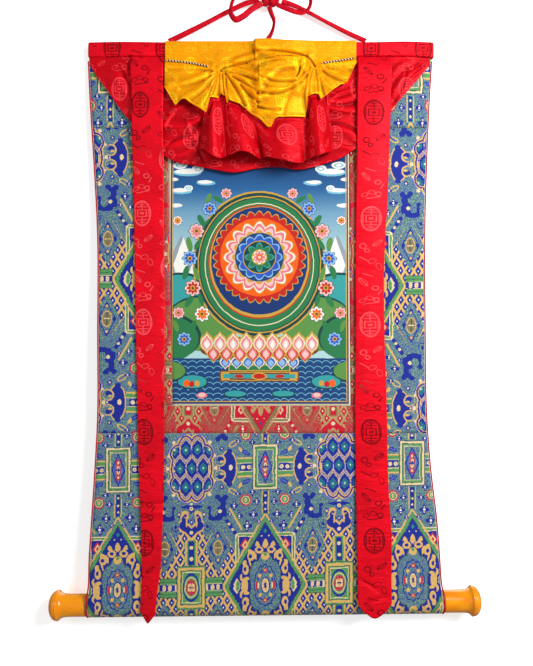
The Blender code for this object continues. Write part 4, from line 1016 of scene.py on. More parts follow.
STEMS = [
    ("oval", 98, 96, 5, 11, "leaf", 0, -30), ("oval", 92, 90, 2.4, 12, "leaf", 0, 40),
    ("oval", 118, 56, 5, 12, "moss", 0, -12), ("oval", 104, 56, 4, 11, "leaf", 0, 30),
    ("oval", 124, 8, 5, 12, "leaf", 0, 14), ("oval", 106, 6, 4, 12, "moss", 0, -20),
    ("oval", 118, -40, 5, 12, "leaf", 0, 30), ("oval", 98, -38, 4, 11, "leaf", 0, -16),
    ("oval", 112, -84, 5, 12, "leaf", 0, 24), ("oval", 140, -82, 4, 10, "moss", 0, -20),
    ("oval", 70, 132, 4, 10, "leaf", 0, -60), ("oval", 86, 134, 4, 9, "moss", 0, 20)]
THRONE = [
    *nested("box", 0, -166, (66, 9, "brown"), (64, 7.4, "gold", 1.6), (60, 3.6, "turquoise")),
    *nested("oval", 0, -166, (13, 6, "gold"), (10, 4.4, "red")), ("oval", 34, -166, 8, 3, "red"),
    *nested("box", 0, -152, (52, 5.6, "gold"), (50, 4, "leaf")), ("oval", 0, -121, 99, 22, "brown"),
    ("oval", 0, -118, 98, 18, "leaf")]
PETALS = [
    # z, first, step, row's half length, half width, half height, paints from the outside in
    (-142, 0, 19, 66.5, 9.4, 9, ("cream", "blue", "pale")),
    (-127, 11, 22, 88, 11.4, 12, ("gold", "red", "rose", "pink")),
    (-110, 0, 22, 99, 12.4, 14, ("gold", "cream", "rose", "pink", "white"))]
SHORE = [
    ("oval", 112, -176, 26, 12, "dark"), ("oval", 112, -175, 24, 10.6, "turquoise"),
    ("oval", 148, -158, 26, 16, "dark"), ("oval", 149, -157, 25, 15, "moss"),
    ("oval", 40, -196, 20, 6, "dark"), ("oval", 40, -195, 18, 4.8, "turquoise"),
    ("oval", 96, -198, 9, 5, "rose"), ("oval", 96, -197, 6, 3.4, "pink"),
    ("oval", 122, -178, 5, 6, "orange"), ("oval", 113, -179, 4.4, 5.4, "red"),
    ("oval", 104, -178, 4.4, 5, "gold")]


canvas = Finish("painted canvas", 0.62, 0.25)
flat = canvas.cloth_place()
drawn = canvas.wander(flat, 0.09, 2.0, 2.4)
height = canvas.part(drawn, 1)
place = canvas.vector("ABSOLUTE", canvas.vector("MULTIPLY", drawn, (1, 0, 0)))
place = canvas.vector("MULTIPLY_ADD", drawn, (0, 1, 0), place)
painted = canvas.mix(canvas.spread(height, 30, 150), PAINTS["haze"], PAINTS["sky"])
painted = canvas.mix(canvas.spread(height, 110, 200), painted, PAINTS["night"])
painted = weave_in(canvas, painted, place, CLOUDS + LAND, PAINTS)
waves = canvas.vector("ADD", place, (0, 400, 0))
waves = canvas.add("CombineXYZ", {
    0: canvas.math("WRAP", canvas.part(waves, 0), 7, -7),
    1: canvas.math("WRAP", canvas.part(waves, 1), 10, 1)})
crests = canvas.math("COMPARE", canvas.vector("LENGTH", waves), 8.0, 0.5)
lake = canvas.math("LESS_THAN", height, -136)
painted = canvas.mix(lake, painted, PAINTS["water"])
painted = canvas.mix(canvas.math("MULTIPLY", crests, lake), painted, PAINTS["cloud"])
painted = weave_in(canvas, painted, place, SHORE + HALO + ROSETTES + THRONE, PAINTS)
for z, first, step, length, half_x, half_z, paints in PETALS:
    row = canvas.add("CombineXYZ", {
        0: canvas.math("WRAP", canvas.part(place, 0), first + step / 2, first - step / 2),
        1: canvas.math("ADD", canvas.part(place, 1), -z)})
    reach = canvas.math("LESS_THAN", canvas.part(place, 0), length)
    for i, paint in enumerate(paints):
        wide, tall = half_x - i * 2.2, half_z - i * 2.2
        petal = canvas.math("MAXIMUM", figure(canvas, row, "oval", first, -i * 0.8, wide, tall),
                            figure(canvas, row, "diamond", first, -i * 0.8, wide * 1.1, tall * 1.4))
        painted = canvas.mix(canvas.math("MULTIPLY", petal, reach), painted, PAINTS[paint])
painted = weave_in(canvas, painted, place, STEMS + [
    (shape, x, z, reach * share, reach * share, paint, notch)
    for x, z, reach, outer, inner in FLOWERS for shape, share, paint, notch in (
        ("flower8", 1.0, "dark", 0.28), ("flower8", 0.92, outer, 0.28), ("flower8", 0.68, inner, 0.4),
        ("oval", 0.3, "gold", 0), ("oval", 0.16, "brown", 0))], PAINTS)
painted = weave_in(canvas, painted, canvas.vector("ABSOLUTE", flat), nested(
    "box", 0, 0, (147, 209.5, "gold", 1.6), (149.6, 212, "night", 2.2)), PAINTS)
rim = figure(canvas, canvas.vector("ABSOLUTE", flat), "box", 0, 0, 149.6, 212)
painted = canvas.mix(rim, PAINTS["cream"], painted)
grain = canvas.noise(flat, 1.4, 3.0, 0.6)
canvas.colour(painted, canvas.math("MULTIPLY_ADD", grain, 0.24, 0.88))
canvas.bump(grain, 0.12)
canvas_back = Finish("back of the canvas", 0.9, base_color=linear(205, 195, 170))
panel("painting_cloth", (canvas, canvas_back), PAINTING_TOP - GAP, PAINTING_BOTTOM,
      painting_left, painting_right, (-6, -486, 1, 1, 0), 62, 86)


# The piping: a thin red cord in a bias strip down each side of the mount, carried on
# round the rod.
PIPING_DIAMETER, PIPING_EASE = 2.4, 0.5
PIPING_START, PIPING_RUN, PIPING_TURN = -117.0, 40.0, 120.0
for side, line, turn in (("left", mount_left, -1), ("right", mount_right, 1)):
    out = PIPING_DIAMETER / 2 + PIPING_EASE
    heights = np.linspace(PIPING_START, ROLLER_Z + PIPING_RUN, 24)
    points = [(line(z) + turn * out, face_y(line(z), z) + CLOTH_THICKNESS / 2,
               z + sag(z) * line(z)) for z in heights]
    x = line(ROLLER_Z) + turn * out
    radius = ROD_RADIUS + PIPING_DIAMETER / 2 + PIPING_EASE
    for a in np.radians(np.linspace(0, PIPING_TURN, 9)):
        points.append((x, ROLLER_Y - radius * math.cos(a),
                       ROLLER_Z + ROLLER_SLOPE * x - radius * math.sin(a)))
    route = smooth_route([[float(value) for value in point] for point in points], 5.0)
    piping = swept("piping_" + side + "_cord", route,
                   tape_sections(route, PIPING_DIAMETER, PIPING_DIAMETER, (0, 0), 0), tape)
    stands_for("piping_" + side)


# The back veil: red silk that hangs from the heading's seam in one long curve, with a
# wing at each side.
SILK_THICKNESS = 1.2
SWAG_SEAM_LIFT, SWAG_EASE, SWAG_STAND = 1.8, 30.0, 0.4
SWAG_HEM = np.array([
    # x, z, lift
    (-294, -124, 3), (-282, -144, 4), (-264, -168, 5), (-245, -196, 6), (-225, -221, 5),
    (-197, -253, 6), (-174, -276, 5), (-146, -292, 7), (-120, -297, 5.5), (-86, -304, 8),
    (-47, -310, 9), (-12, -303, 6), (25, -300, 5.5), (59, -305, 8), (99, -296, 6),
    (135, -283, 7.5), (164, -262, 6), (191, -231, 5), (217, -202, 5), (239, -177, 6),
    (263, -149, 4), (284, -124, 3)])
SWAG_FOLDS = [
    # x0, z0, x1, z1, bend, width0, width1, height0, height1, and how much steeper one side is
    (-285, -122, -222, -190, 8, 6, 10, 1.5, 3, 0.3),
    (-262, -118, -222, -150, 4, 5, 8, 1.5, 2.5, 0.3),
    (-166, -232, -100, -208, -14, 9, 8, 5, 4, 0.5), (-166, -262, -106, -240, -6, 7, 8, 3, 4, -0.4),
    (-150, -282, -112, -266, -3, 6, 7, 2.5, 3.5), (158, -176, 112, -186, 4, 6, 7, 4, 3, 0.4),
    (160, -204, 112, -200, 3, 6, 8, 2.5, 4, -0.4), (158, -252, 118, -236, -6, 8, 8, 2.5, 4, 0.2),
    (150, -272, 118, -262, -3, 6, 7, 2, 3), (276, -124, 222, -170, -5, 5, 9, 1.5, 3, 0.3),
    (250, -116, 220, -138, -3, 5, 7, 1.5, 2.5, 0.3),
    # sharper creases
    (-166, -230, -130, -194, 6, 3, 3, 3, 2), (-160, -236, -104, -226, -4, 3, 3.4, -2.6, -2.2),
    (-164, -271, -136, -248, 4, 2.6, 3, -2.2, -2), (-128, -222, -104, -262, -5, 3, 3.6, 2.4, 2),
    (-150, -206, -110, -190, 3, 2.6, 3, -2, -1.8),
    (-120, -262, -100, -290, 3, 2.4, 2.8, -1.8, -1.4),
    (118, -181, 158, -168, 3, 2.6, 2.6, 2.4, 1.6), (114, -194, 160, -190, -3, 2.6, 3, -2.2, -1.8),
    (116, -226, 158, -240, 4, 2.6, 3, -2.2, -1.8), (118, -256, 152, -262, -3, 2.4, 2.8, -1.8, -1.4),
    (-250, -120, -226, -176, 5, 2.6, 3.4, -2.2, -1.8),
    (-276, -122, -236, -142, 3, 2.4, 3, -1.8, -1.6), (-240, -132, -224, -136, 0, 2.4, 2.6, 2.2, 2),
    (-232, -150, -222, -208, 3, 2.6, 3.2, 1.8, 1.8), (262, -120, 224, -150, -4, 2.6, 3.2, -2, -1.6),
    (244, -130, 222, -186, 4, 2.4, 3, -1.8, -1.6), (274, -130, 238, -168, -3, 2.4, 3, 1.6, 1.6)]


def fold_lift(x, z, folds, creases=False):
    """How far curved ridges, or troughs, raise the cloth at x and z. `creases` don't add up
    where they meet."""
    total = np.zeros(np.broadcast(x, z).shape)
    steps = np.linspace(0, 1, 13)
    for x0, z0, x1, z1, bend, w0, w1, h0, h1, *lean in folds:
        length = math.hypot(x1 - x0, z1 - z0)
        across = (-(z1 - z0) / length, (x1 - x0) / length)
        bow = 4 * steps * (1 - steps) * bend
        px = x0 + (x1 - x0) * steps + across[0] * bow
        pz = z0 + (z1 - z0) * steps + across[1] * bow
        nearest = np.full(total.shape, np.inf)
        place = np.zeros(total.shape)
        side = np.zeros(total.shape)
        for i in range(len(steps) - 1):
            dx, dz = px[i + 1] - px[i], pz[i + 1] - pz[i]
            along = ((x - px[i]) * dx + (z - pz[i]) * dz) / (dx * dx + dz * dz)
            along = np.clip(along, 0, 1)
            off_x, off_z = x - px[i] - along * dx, z - pz[i] - along * dz
            away = np.hypot(off_x, off_z)
            closer = away < nearest
            nearest = np.where(closer, away, nearest)
            place = np.where(closer, (i + along) / (len(steps) - 1), place)
            side = np.where(closer, np.sign(off_z * dx - off_x * dz), side)
        width = (w0 + (w1 - w0) * place) * (1 + sum(lean) * side)
        rise = (h0 + (h1 - h0) * place) * np.exp(-((nearest / width) ** 2))
        total = np.minimum(total, rise) if creases else total + rise
    return total


veil_red = damask_weave("red veil silk", linear(204, 0, 20), linear(246, 58, 70),
                        linear(246, 58, 70), 0.92, 0.42, 0.8, folds=True)


def swag_place(u, v):
    x = SWAG_HEM[0, 0] + (SWAG_HEM[-1, 0] - SWAG_HEM[0, 0]) * u
    bottom, hem = read(SWAG_HEM, x, 1), read(SWAG_HEM, x, 2)
    top = under_heading(x)
    z = top + (bottom - top) * v
    settled = np.clip((SEAM_Z - z) / SWAG_EASE, 0, 1)
    lift = (SWAG_SEAM_LIFT + (hem - SWAG_SEAM_LIFT) * settled * (SWAG_STAND + (1 - SWAG_STAND) * v)
            + fold_lift(x, z, SWAG_FOLDS) * settled)
    return x, face_y(x, z) - lift, z, x, z


# Its folds get painted shade in their troughs and painted highlight on their ridges.
swag = cloth("veil_swag_cloth", 330, 110, swag_place, SILK_THICKNESS, (veil_red,), painted_shade=(7, 4.0))
stands_for("veil_swag")


# The yellow veil panel: a square of yellow silk sewn over the heading, drawn up at two
# gathers so that its middle falls in stacked folds.
YELLOW_TOP = np.array([(-167, -85), (-17, -85), (-14, -81), (8, -81), (37, -84), (157, -84)])
YELLOW_HEM = np.array([
    (-166, -166), (-147, -198), (-138, -189), (-131, -188), (-95, -212), (-88, -187),
    (-75, -187), (-71, -178), (-62, -184), (-60.5, -196), (-57, -191), (-38, -197),
    (-30, -205), (-22, -213), (-3, -226), (8, -238), (13, -238), (20, -224),
    (27, -221), (71, -219), (75, -184), (87, -180), (93, -181), (97, -188),
    (105, -181), (131, -161), (141, -159), (154, -130), (158, -123)])
HEM_FOLD = 4.5
YELLOW_LEVELS = (-85.0, -110.0, -128.0, -160.0, -195.0)
YELLOW_LIFT = np.array([
    # x, then the lift at the heading, at the gathers, half way down and at the hem
    (-172, 5.8, 8.5, 11, 13), (-140, 5.8, 8.5, 13, 16), (-105, 5.8, 8.5, 15, 19),
    (-85, 5.8, 8, 16, 22), (-72, 5.8, 8, 15, 17), (-55, 5.8, 9, 19, 22),
    (-35, 5.8, 11, 22, 20), (-10, 6.4, 15, 26, 24), (20, 9, 21, 33, 28),
    (50, 9, 21, 30, 25), (72, 7, 13, 22, 20), (87, 5.8, 8, 15, 24),
    (104, 5.8, 8, 13, 17), (130, 5.8, 8.5, 13, 15), (160, 5.8, 8, 10, 12)])
YELLOW_FOLDS = [
    # fan at the left gather: to the edge, to the corner, then down to the hem
    (-84, -129, -164, -131, 3, 3, 9, 2, 3, 0.2), (-86, -133, -158, -164, 7, 3, 9, 2.5, 4.5, 0.2),
    (-83, -137, -132, -186, 8, 3, 9, 3, 5, 0.2), (-79, -140, -104, -200, 6, 4, 8, 3, 4.5),
    (-73, -141, -83, -186, 2, 4, 7, 3, 4), (-66, -140, -58, -190, -3, 3, 6, 3, 4.5, -0.2),
    # folds that leave the left gather for the middle
    (-62, -134, -8, -158, 7, 4, 6, 4, 5, -0.2), (-58, -140, -12, -190, 9, 4, 6, 4, 5, -0.2),
    (-60, -146, -26, -206, 6, 4, 6, 3, 4, -0.2), (-48, -122, -16, -112, 3, 4, 5, 3, 3, 0.2),
    # stacked folds of the middle, upper to lower
    (-12, -95, 78, -112, -14, 7, 6, 5, 3, 0.2), (-12, -127, 72, -121, 6, 7, 6, 6, 4, 0.2),
    (-6, -148, 70, -132, 14, 8, 7, 7, 5, 0.2), (-6, -172, 74, -140, 20, 8, 6, 7, 5, 0.2),
    (-8, -192, 38, -178, 6, 7, 8, 6, 2, 0.2), (-5, -214, 20, -212, 2, 8, 8, 4, 2),
    # swirl round the right gather
    (58, -176, 78, -130, 8, 8, 5, 4, 3, 0.1), (84, -133, 78, -178, -3, 4, 7, 3, 4),
    (91, -134, 92, -178, 1, 3, 6, 3.5, 5), (96, -132, 118, -168, -5, 3, 7, 2.5, 4.5, -0.2),
    (98, -128, 146, -150, -4, 3, 8, 2.5, 4, -0.2), (99, -124, 156, -120, -2, 3, 6, 2, 2.5, -0.3)]


YELLOW_CREASES = [
    # from the left gather to the middle, with the hollow over it
    (-71, -138, -9, -161, 3, 1.8, 2.4, -3.6, -2.8), (-66, -140, -31, -200, 2, 2.4, 3.2, -4.5, -3.8),
    (-37, -165, -8, -196, -1.5, 2, 3, -3.4, -4.4), (-52, -150, -8, -182, 2, 2, 2.6, -3, -3),
    (-74, -136, -28, -123, 2, 2, 3.2, -2, -4.6), (-28, -123, -14, -119, 1, 2.6, 2, -3.6, -1),
    (-130, -122, -55, -121, 1, 4, 4, -0.8, -1.6), (-80, -127, -16, -104, 3, 3.6, 4, -1.2, -1.8),
    # the fan at the left gather
    (-80, -139, -160, -136, -2, 2, 3, -2.4, -1.2), (-78, -140, -138, -168, 4, 1.8, 3.2, -3, -1.8),
    (-77, -142, -119, -189, 3, 1.8, 3.4, -3, -2.4), (-77, -142, -99, -199, 2, 1.8, 3, -3, -2.6),
    (-76, -142, -85, -181, 1, 1.6, 2.4, -3, -2.8), (-74, -142, -74, -181, 0, 1.6, 2, -3, -2.8),
    (-68, -143, -64, -182, -1, 1.8, 2.2, -3.4, -3.4), (-62, -147, -59, -192, -1, 2, 2.4, -3.6, -3.8),
    # the top flap's edge, the two slits and the swirl
    (-12, -103, 59, -107, 3, 2, 2.4, -2.6, -4), (59, -107, 88, -129, 5, 2.4, 2, -4, -3.6),
    (23, -113, 47, -112, 0, 1.8, 1.8, -6, -4), (5, -118, 67, -111, -1.5, 2, 2, -2.2, -2.6),
    (62, -135, 56, -153, 1, 1.6, 1.6, -6.4, -5), (65, -118, 63, -140, -3, 2, 2, -2.6, -3),
    (80, -131, 48, -174, 6, 2, 2.6, -3.4, -3.6), (48, -174, -2, -181, 4.6, 2.6, 2.6, -3.8, -3.6),
    (73, -131, 56, -160, 3, 1.8, 2.4, -2.8, -3.4), (56, -160, -5, -154, 5.8, 2.4, 2.4, -3.6, -3),
    (-8, -203, 28, -208, -3, 2.4, 2.8, -4.2, -2), (73, -154, 74, -216, -5, 2.4, 3, -3.2, -2.2),
    (65, -165, 34, -217, -8, 3, 4, -2, -1.4), (-4, -128, 36, -126, 2, 2.4, 2.4, -2.6, -1.4),
    (-2, -141, 50, -139, -3, 3, 3, -1.6, -1.6), (0, -168, 40, -169, -3, 2.6, 2.6, -1.4, -1.6),
    # the fan at the right gather
    (85, -132, 76, -181, -2, 1.8, 2.4, -3.4, -3.2), (89, -133, 92, -188, 1, 1.8, 2.2, -3.6, -3.2),
    (91, -133, 105, -186, -1, 1.8, 2.4, -3, -2.6), (92, -132, 123, -171, -3, 1.8, 2.8, -2.8, -2),
    (94, -131, 140, -160, -3, 1.8, 2.8, -2.4, -1.6), (95, -129, 152, -136, -2, 1.8, 2.6, -2, -1.2)]
YELLOW_EDGES = [
    # where the cloth doubles over itself: x, top, bottom, height, how far it dies away
    (-14.5, -80, -119, 3.0, 26), (-7.5, -124, -163, 3.0, 14), (-9, -181, -206, 2.6, 14)]
YELLOW_EDGE_TURN, YELLOW_EDGE_FADE = 1.6, 4.0


def yellow_lift(x, z):
    columns = [read(YELLOW_LIFT, x, i) for i in (1, 1, 2, 3, 4)]
    lift = columns[0]
    for i in range(4):
        t = np.clip((YELLOW_LEVELS[i] - z) / (YELLOW_LEVELS[i] - YELLOW_LEVELS[i + 1]), 0, 1)
        lift = lift + (columns[i + 1] - columns[i]) * t * t * (3 - 2 * t)
    lift = lift + fold_lift(x, z, YELLOW_FOLDS) + fold_lift(x, z, YELLOW_CREASES, True)
    for edge_x, top, bottom, height, fade in YELLOW_EDGES:
        past = np.maximum(x - edge_x, 0)
        inside = np.clip((top - z) / YELLOW_EDGE_FADE, 0, 1)
        inside = inside * np.clip((z - bottom) / YELLOW_EDGE_FADE, 0, 1)
        rise = height * np.minimum(past / YELLOW_EDGE_TURN, 1) * np.exp(-past / fade)
        lift = lift + rise * inside
    return lift


veil_yellow = damask_weave("yellow veil silk", linear(254, 162, 0), linear(226, 124, 0),
                           linear(255, 204, 20), 0.7, 0.42, 0.8, folds=True)


def yellow_place(u, v):
    x = YELLOW_HEM[0, 0] + (YELLOW_HEM[-1, 0] - YELLOW_HEM[0, 0]) * u
    bottom = np.interp(x, YELLOW_HEM[:, 0], YELLOW_HEM[:, 1])
    top = np.interp(x, YELLOW_TOP[:, 0], YELLOW_TOP[:, 1])
    z = top + (bottom - top) * v
    hem = (bottom - z + HEM_FOLD) / HEM_FOLD * 2
    rolled = 0.5 * np.exp(-(hem - 1.0) ** 2 * 3) - 0.7 * np.exp(-((hem + 0.5) * 2.5) ** 2)
    return x, face_y(x, np.minimum(z, SEAM_Z)) - yellow_lift(x, z) - rolled, z, x, z


# Its folds get painted shade in their troughs and painted highlight on their ridges.
yellow = cloth("veil_yellow_cloth", 300, 130, yellow_place, SILK_THICKNESS, (veil_yellow,),
               painted_shade=(7, 3.2))
stands_for("veil_yellow")


# The flounce below it: a gathered red silk band whose tubes open towards the hem.
FLOUNCE = np.array([
    # x and z along its top, x and z along its hem, and the lift there
    (-98, -203, -107, -272, 12), (-93, -194, -101, -274, 24), (-85, -178, -83, -288, 40),
    (-76, -172, -69, -291, 32), (-70, -166, -61, -286, 22), (-62, -172, -51, -285, 34),
    (-52, -180, -36, -282, 44), (-42, -184, -21, -284, 40), (-32, -190, -6, -290, 26),
    (-22, -200, 0, -288, 14), (-12, -208, 5, -288, 26), (3, -214, 23, -293, 36),
    (29, -208, 45, -298, 38), (54, -206, 61, -299, 30), (68, -200, 72, -293, 22),
    (76, -172, 82, -291, 38), (86, -168, 93, -289, 46), (96, -170, 103, -284, 40),
    (103, -170, 113, -279, 24), (108, -166, 119, -272, 12)])
FLOUNCE_MARGIN, FLOUNCE_HIDDEN, FLOUNCE_MOST_HIDDEN = 0.03, 0.25, 0.5
FLOUNCE_SET_BACK, FLOUNCE_SPRING = 4.5, 0.4
FLOUNCE_CUT, FLOUNCE_FROM = (330, 110), (-212, 58)
COVER_REACH, COVER_FADE = 6.0, 6.0
flounce_stations = np.linspace(0, 1, len(FLOUNCE))


def flounce_place(u, v):
    x_top, z_top, x_hem, z_hem, lift_hem = (smooth(u, flounce_stations, FLOUNCE[:, i])
                                            for i in range(5))
    steps = np.linspace(0, 1, 81)[:, None, None]
    hidden = (z_top + (z_hem - z_top) * steps
              > np.interp(x_top + (x_hem - x_top) * steps, YELLOW_HEM[:, 0], YELLOW_HEM[:, 1]))
    seam = np.clip(np.where(hidden, steps, 0).max(axis=0) + FLOUNCE_MARGIN, 0, FLOUNCE_MOST_HIDDEN)
    fall = np.clip((v - FLOUNCE_HIDDEN) / (1 - FLOUNCE_HIDDEN), 0, 1)
    down = np.where(v < FLOUNCE_HIDDEN, seam * v / FLOUNCE_HIDDEN, seam + (1 - seam) * fall)
    x = x_top + (x_hem - x_top) * down
    z = z_top + (z_hem - z_top) * down
    seam_x, seam_z = x_top + (x_hem - x_top) * seam, z_top + (z_hem - z_top) * seam
    under = yellow_lift(x, z) - FLOUNCE_SET_BACK
    start = yellow_lift(seam_x, seam_z) - FLOUNCE_SET_BACK
    spring = fall * (1 + FLOUNCE_SPRING * (1 - fall))
    free = start + (lift_hem - start) * spring
    shifts = np.linspace(-COVER_REACH, COVER_REACH, 9)[:, None, None]
    nearby = np.interp(x + shifts, YELLOW_HEM[:, 0], YELLOW_HEM[:, 1]).min(axis=0)
    covered = np.clip((z - nearby) / COVER_FADE + 1, 0, 1)
    lift = free + (np.minimum(free, under) - free) * covered
    return (x, face_y(x, z) - np.where(v < FLOUNCE_HIDDEN, under, lift), z,
            FLOUNCE_FROM[0] + u * FLOUNCE_CUT[0], FLOUNCE_FROM[1] - v * FLOUNCE_CUT[1])


# Its folds get painted shade in their troughs and painted highlight on their ridges.
flounce = cloth("veil_flounce_cloth", 240, 70, flounce_place, SILK_THICKNESS, (veil_red,),
                painted_shade=(10, 8.0))
stands_for("veil_flounce")


# The gather cords: thin cords of gold, black and red thread, drawn round the gathers.
GATHER_DIAMETER, GATHER_EASE, GATHER_TWIST = 3.0, 0.5, 5.0
GATHER_ROUTES = {
    "gather_cord_left": [(-162, -119), (-150, -120.3), (-138, -121.3), (-126, -122.8),
                         (-116, -124.5), (-104, -127.5), (-92, -130.5)],
    "gather_cord_right": [(154, -115), (142, -117), (130, -119), (118, -121),
                          (108, -123), (100, -125)]}
cord_silk = Finish("twisted cord", 0.5)
strand = cord_silk.math("SINE", cord_silk.vector("DOT_PRODUCT", cord_silk.cloth_place(), (
    2 * math.pi / TAPE_PATTERN, 2 * math.pi / GATHER_TWIST, 0)))
twist = cord_silk.mix(cord_silk.spread(strand, -0.3, -0.1), linear(24, 18, 20), linear(196, 30, 30))
twist = cord_silk.mix(cord_silk.spread(strand, 0.05, 0.2), twist, linear(226, 190, 96))
cord_silk.colour(cord_silk.mix(cord_silk.spread(strand, 0.75, 0.85), twist, linear(240, 236, 220)))
cord_silk.bump(strand, 0.5)
for name, points in GATHER_ROUTES.items():
    route = smooth_route([(x, 0, z) for x, z in points], 0.8)
    lift = yellow_lift(route[:, 0], route[:, 2]) + GATHER_DIAMETER / 2 + GATHER_EASE
    route[:, 1] = face_y(route[:, 0], np.minimum(route[:, 2], SEAM_Z)) - lift
    cord = swept(name + "_twist", route,
                 tape_sections(route, GATHER_DIAMETER, GATHER_DIAMETER, (0, 0), 0), cord_silk)
    stands_for(name)


# The streamers: two long ribbons of red damask sewn in under the heading, their ends
# folded to a point.
STREAMERS = {
    # height, left, right, lift at the left, lift at the right
    "left": np.array([
        (-110.4, -224, -168, 3.5, 3.5), (-122, -224, -168, 9.5, 9.5), (-170, -222, -168, 12, 11),
        (-240, -221, -168, 11, 12), (-285, -220, -167, 7, 9), (-330, -219, -167, 4, 6),
        (-434, -216, -166, 4, 4), (-590, -212, -164, 5, 4), (-691, -209, -164, 4, 5),
        (-807, -206, -164, 4, 4), (-898, -202, -166, 5, 4), (-978, -200, -169.5, 4, 9),
        (-1003, -200.3, -173, 4, 10), (-1038, -202.2, -176.6, 4, 11)]),
    "right": np.array([
        (-110.4, 160, 219, 3.5, 3.5), (-122, 160, 218, 9.5, 9.5), (-170, 159, 216, 12, 12),
        (-235, 158, 214, 12, 10), (-272, 158, 213, 9, 6), (-330, 157, 211, 5, 4),
        (-474, 155, 203, 4, 5), (-576, 155, 203, 5, 4), (-691, 153, 206, 4, 4),
        (-830, 154, 208, 4, 5), (-921, 155, 213, 6.5, 4), (-990, 156, 212, 8, 4),
        (-1025, 156.4, 212.4, 9, 5)])}
STREAMER_POINTS = {
    # across, drop
    "left": np.array([(0, 0), (0.4, 15.5), (0.5, 18.6), (0.6, 16.8), (1, 3.7)]),
    "right": np.array([(0, 0), (0.16, 12.5), (0.4, 22.4), (0.5, 23.6), (0.6, 22), (0.84, 12.8),
                       (1, 0)])}
STREAMER_CREASES = {
    # x0, z0, x1, z1, bend, width0, width1, height0, height1
    "left": [
        (-222, -342, -164, -313, 2, 3.5, 3.5, -1.4, -1),
        (-220, -358, -164, -336, 1, 4, 4, 1.3, 0.8), (-224, -150, -168, -154, 1, 3, 3, 1, 1),
        (-222, -162, -180, -172, 2, 3, 4, -1, -0.6),
        (-206, -868, -166, -862, 2, 3.5, 3.5, -1.5, -1.2),
        (-206, -880, -166, -877, 1, 3, 3, 1.6, 1.2), (-203, -925, -168, -940, -2, 4, 4, -1, -0.8)],
    "right": [
        (158, -146, 214, -152, 2, 3, 4, 1, 0.8), (160, -165, 190, -176, 2, 3, 3, -1, -0.6),
        (156, -470, 204, -480, 2, 5, 5, -0.8, -0.6), (154, -872, 210, -864, 1, 3, 3, 1, 0.8),
        (156, -985, 196, -1010, 3, 3.5, 4, -1.2, -0.8),
        (170, -1024, 212, -1014, 2, 3, 3, -1.2, -0.8)]}
# Where the first roundel is from the strip's middle line and the figures' size.
STREAMER_ROUNDELS = {"left": (-11.5, -195.5, 1.03, 1.01), "right": (0.0, -209.0, 1.2, 0.985)}
STREAMER_CROWN, CROWN_FROM, CROWN_EASE = 1.2, -150.0, 60.0
for side, rows in STREAMERS.items():
    point = STREAMER_POINTS[side]
    foot = rows[-1, 0]
    top = under_heading(rows[0, 1] + (rows[0, 2] - rows[0, 1]) * np.array([0, 0.5, 1])).min()
    roundel_x, roundel_z, wide, tall = STREAMER_ROUNDELS[side]

    def streamer_place(u, v):
        z = top + (foot - np.interp(u, point[:, 0], point[:, 1]) - top) * v
        left, right, lift_left, lift_right = (read(rows, z, column) for column in range(1, 5))
        x = left + (right - left) * u
        lift = lift_left + (lift_right - lift_left) * u
        below = np.clip((CROWN_FROM - z) / CROWN_EASE, 0, 1)
        crown = STREAMER_CROWN * np.sin(math.pi * u) * below
        crown = crown + fold_lift(x, z, STREAMER_CREASES[side])
        return (x, face_y(x, np.maximum(z, ROLLER_Z)) - lift - crown, z,
                (x - (left + right) / 2 - roundel_x) / wide, (z - roundel_z) / tall)

    streamer = cloth("streamer_" + side + "_cloth", 24, 420, streamer_place, SILK_THICKNESS, (damask,))
    stands_for("streamer_" + side)


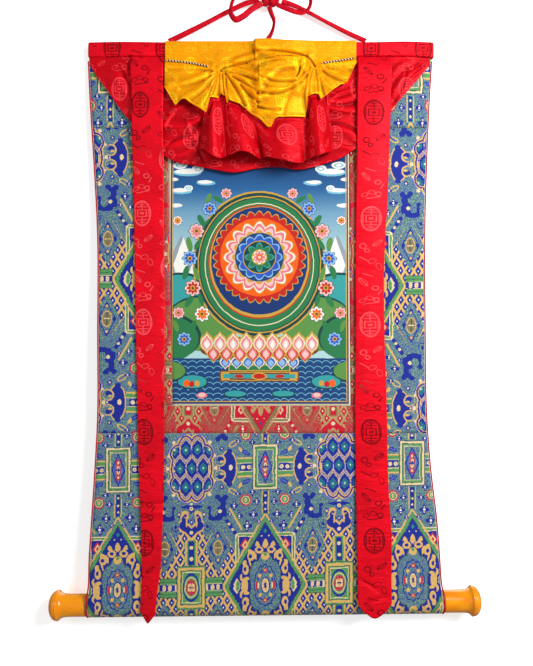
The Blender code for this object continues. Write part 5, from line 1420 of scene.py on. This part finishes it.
# The roller: a beech rod in the sleeve, with a knob of amber-coloured resin turned and
# polished for each end.
KNOB_STEPS = 72
KNOB_PROFILE = [
    # out from the rod's end, radius
    (0.3, 0), (0.3, 17.6), (0.8, 18.4), (8, 18.35), (18, 18.3), (28, 18.35), (34, 18.6), (38, 19.1),
    (41, 20.2), (43.5, 21.7), (45.2, 23.3), (46.2, 24.6), (46.9, 25.0), (48.2, 25.0), (48.8, 24.6),
    (49.1, 24.0), (49.5, 24.2), (50.6, 24.3), (52.4, 23.8), (54.4, 22.7), (56.6, 20.7),
    (58.6, 17.9), (60.4, 14.2), (61.7, 9.9), (62.5, 5.2), (62.8, 0)]
ROD_ENDS = {"left": (-295.6, -1), "right": (302.4, 1)}

wood = Finish("rod wood", 0.6, base_color=linear(200, 160, 110))
amber = Finish("amber knob", 0.24, 0.3, coat_weight=0.3, coat_roughness=0.06)
turned = amber.add("TexCoord", {}, "Object")
cloudy = amber.noise(amber.vector("MULTIPLY", turned, (400, 1000, 1000)), 14.0, 2.0)
amber.colour(amber.mix(amber.spread(cloudy, 0.35, 0.65), linear(255, 166, 0), linear(248, 138, 0)))
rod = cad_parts["roller_rod"]
for place in rod.material_slots:
    place.material = wood.material
for side, (end, way) in ROD_ENDS.items():
    bpy.ops.object.select_all(action="DESELECT")
    outline = bpy.data.meshes.new("knob")
    outline.from_pydata([(out * MM, 0, radius * MM) for out, radius in KNOB_PROFILE],
                        [(i, i + 1) for i in range(len(KNOB_PROFILE) - 1)], [])
    knob = bpy.data.objects.new("turned_knob_" + side, outline)
    bpy.context.scene.collection.objects.link(knob)
    bpy.context.view_layer.objects.active = knob
    knob.select_set(True)
    bpy.ops.object.mode_set(mode="EDIT")
    bpy.ops.mesh.select_all(action="SELECT")
    bpy.ops.mesh.spin(steps=KNOB_STEPS, angle=2 * math.pi, center=(0, 0, 0), axis=(1, 0, 0))
    bpy.ops.mesh.select_all(action="SELECT")
    bpy.ops.mesh.remove_doubles(threshold=0.00001)
    bpy.ops.mesh.normals_make_consistent(inside=False)
    bpy.ops.object.mode_set(mode="OBJECT")
    knob.rotation_euler = (0, -way * math.atan(ROLLER_SLOPE), 0 if way > 0 else math.pi)
    knob.location = (end * MM, ROLLER_Y * MM, (ROLLER_Z + ROLLER_SLOPE * end) * MM)
    bpy.ops.object.transform_apply(location=True, rotation=True, scale=True)
    outline.materials.append(amber.material)
    bpy.ops.object.shade_smooth_by_angle(angle=math.radians(35))
    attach(knob, "root")
    stands_for("knob_" + side)
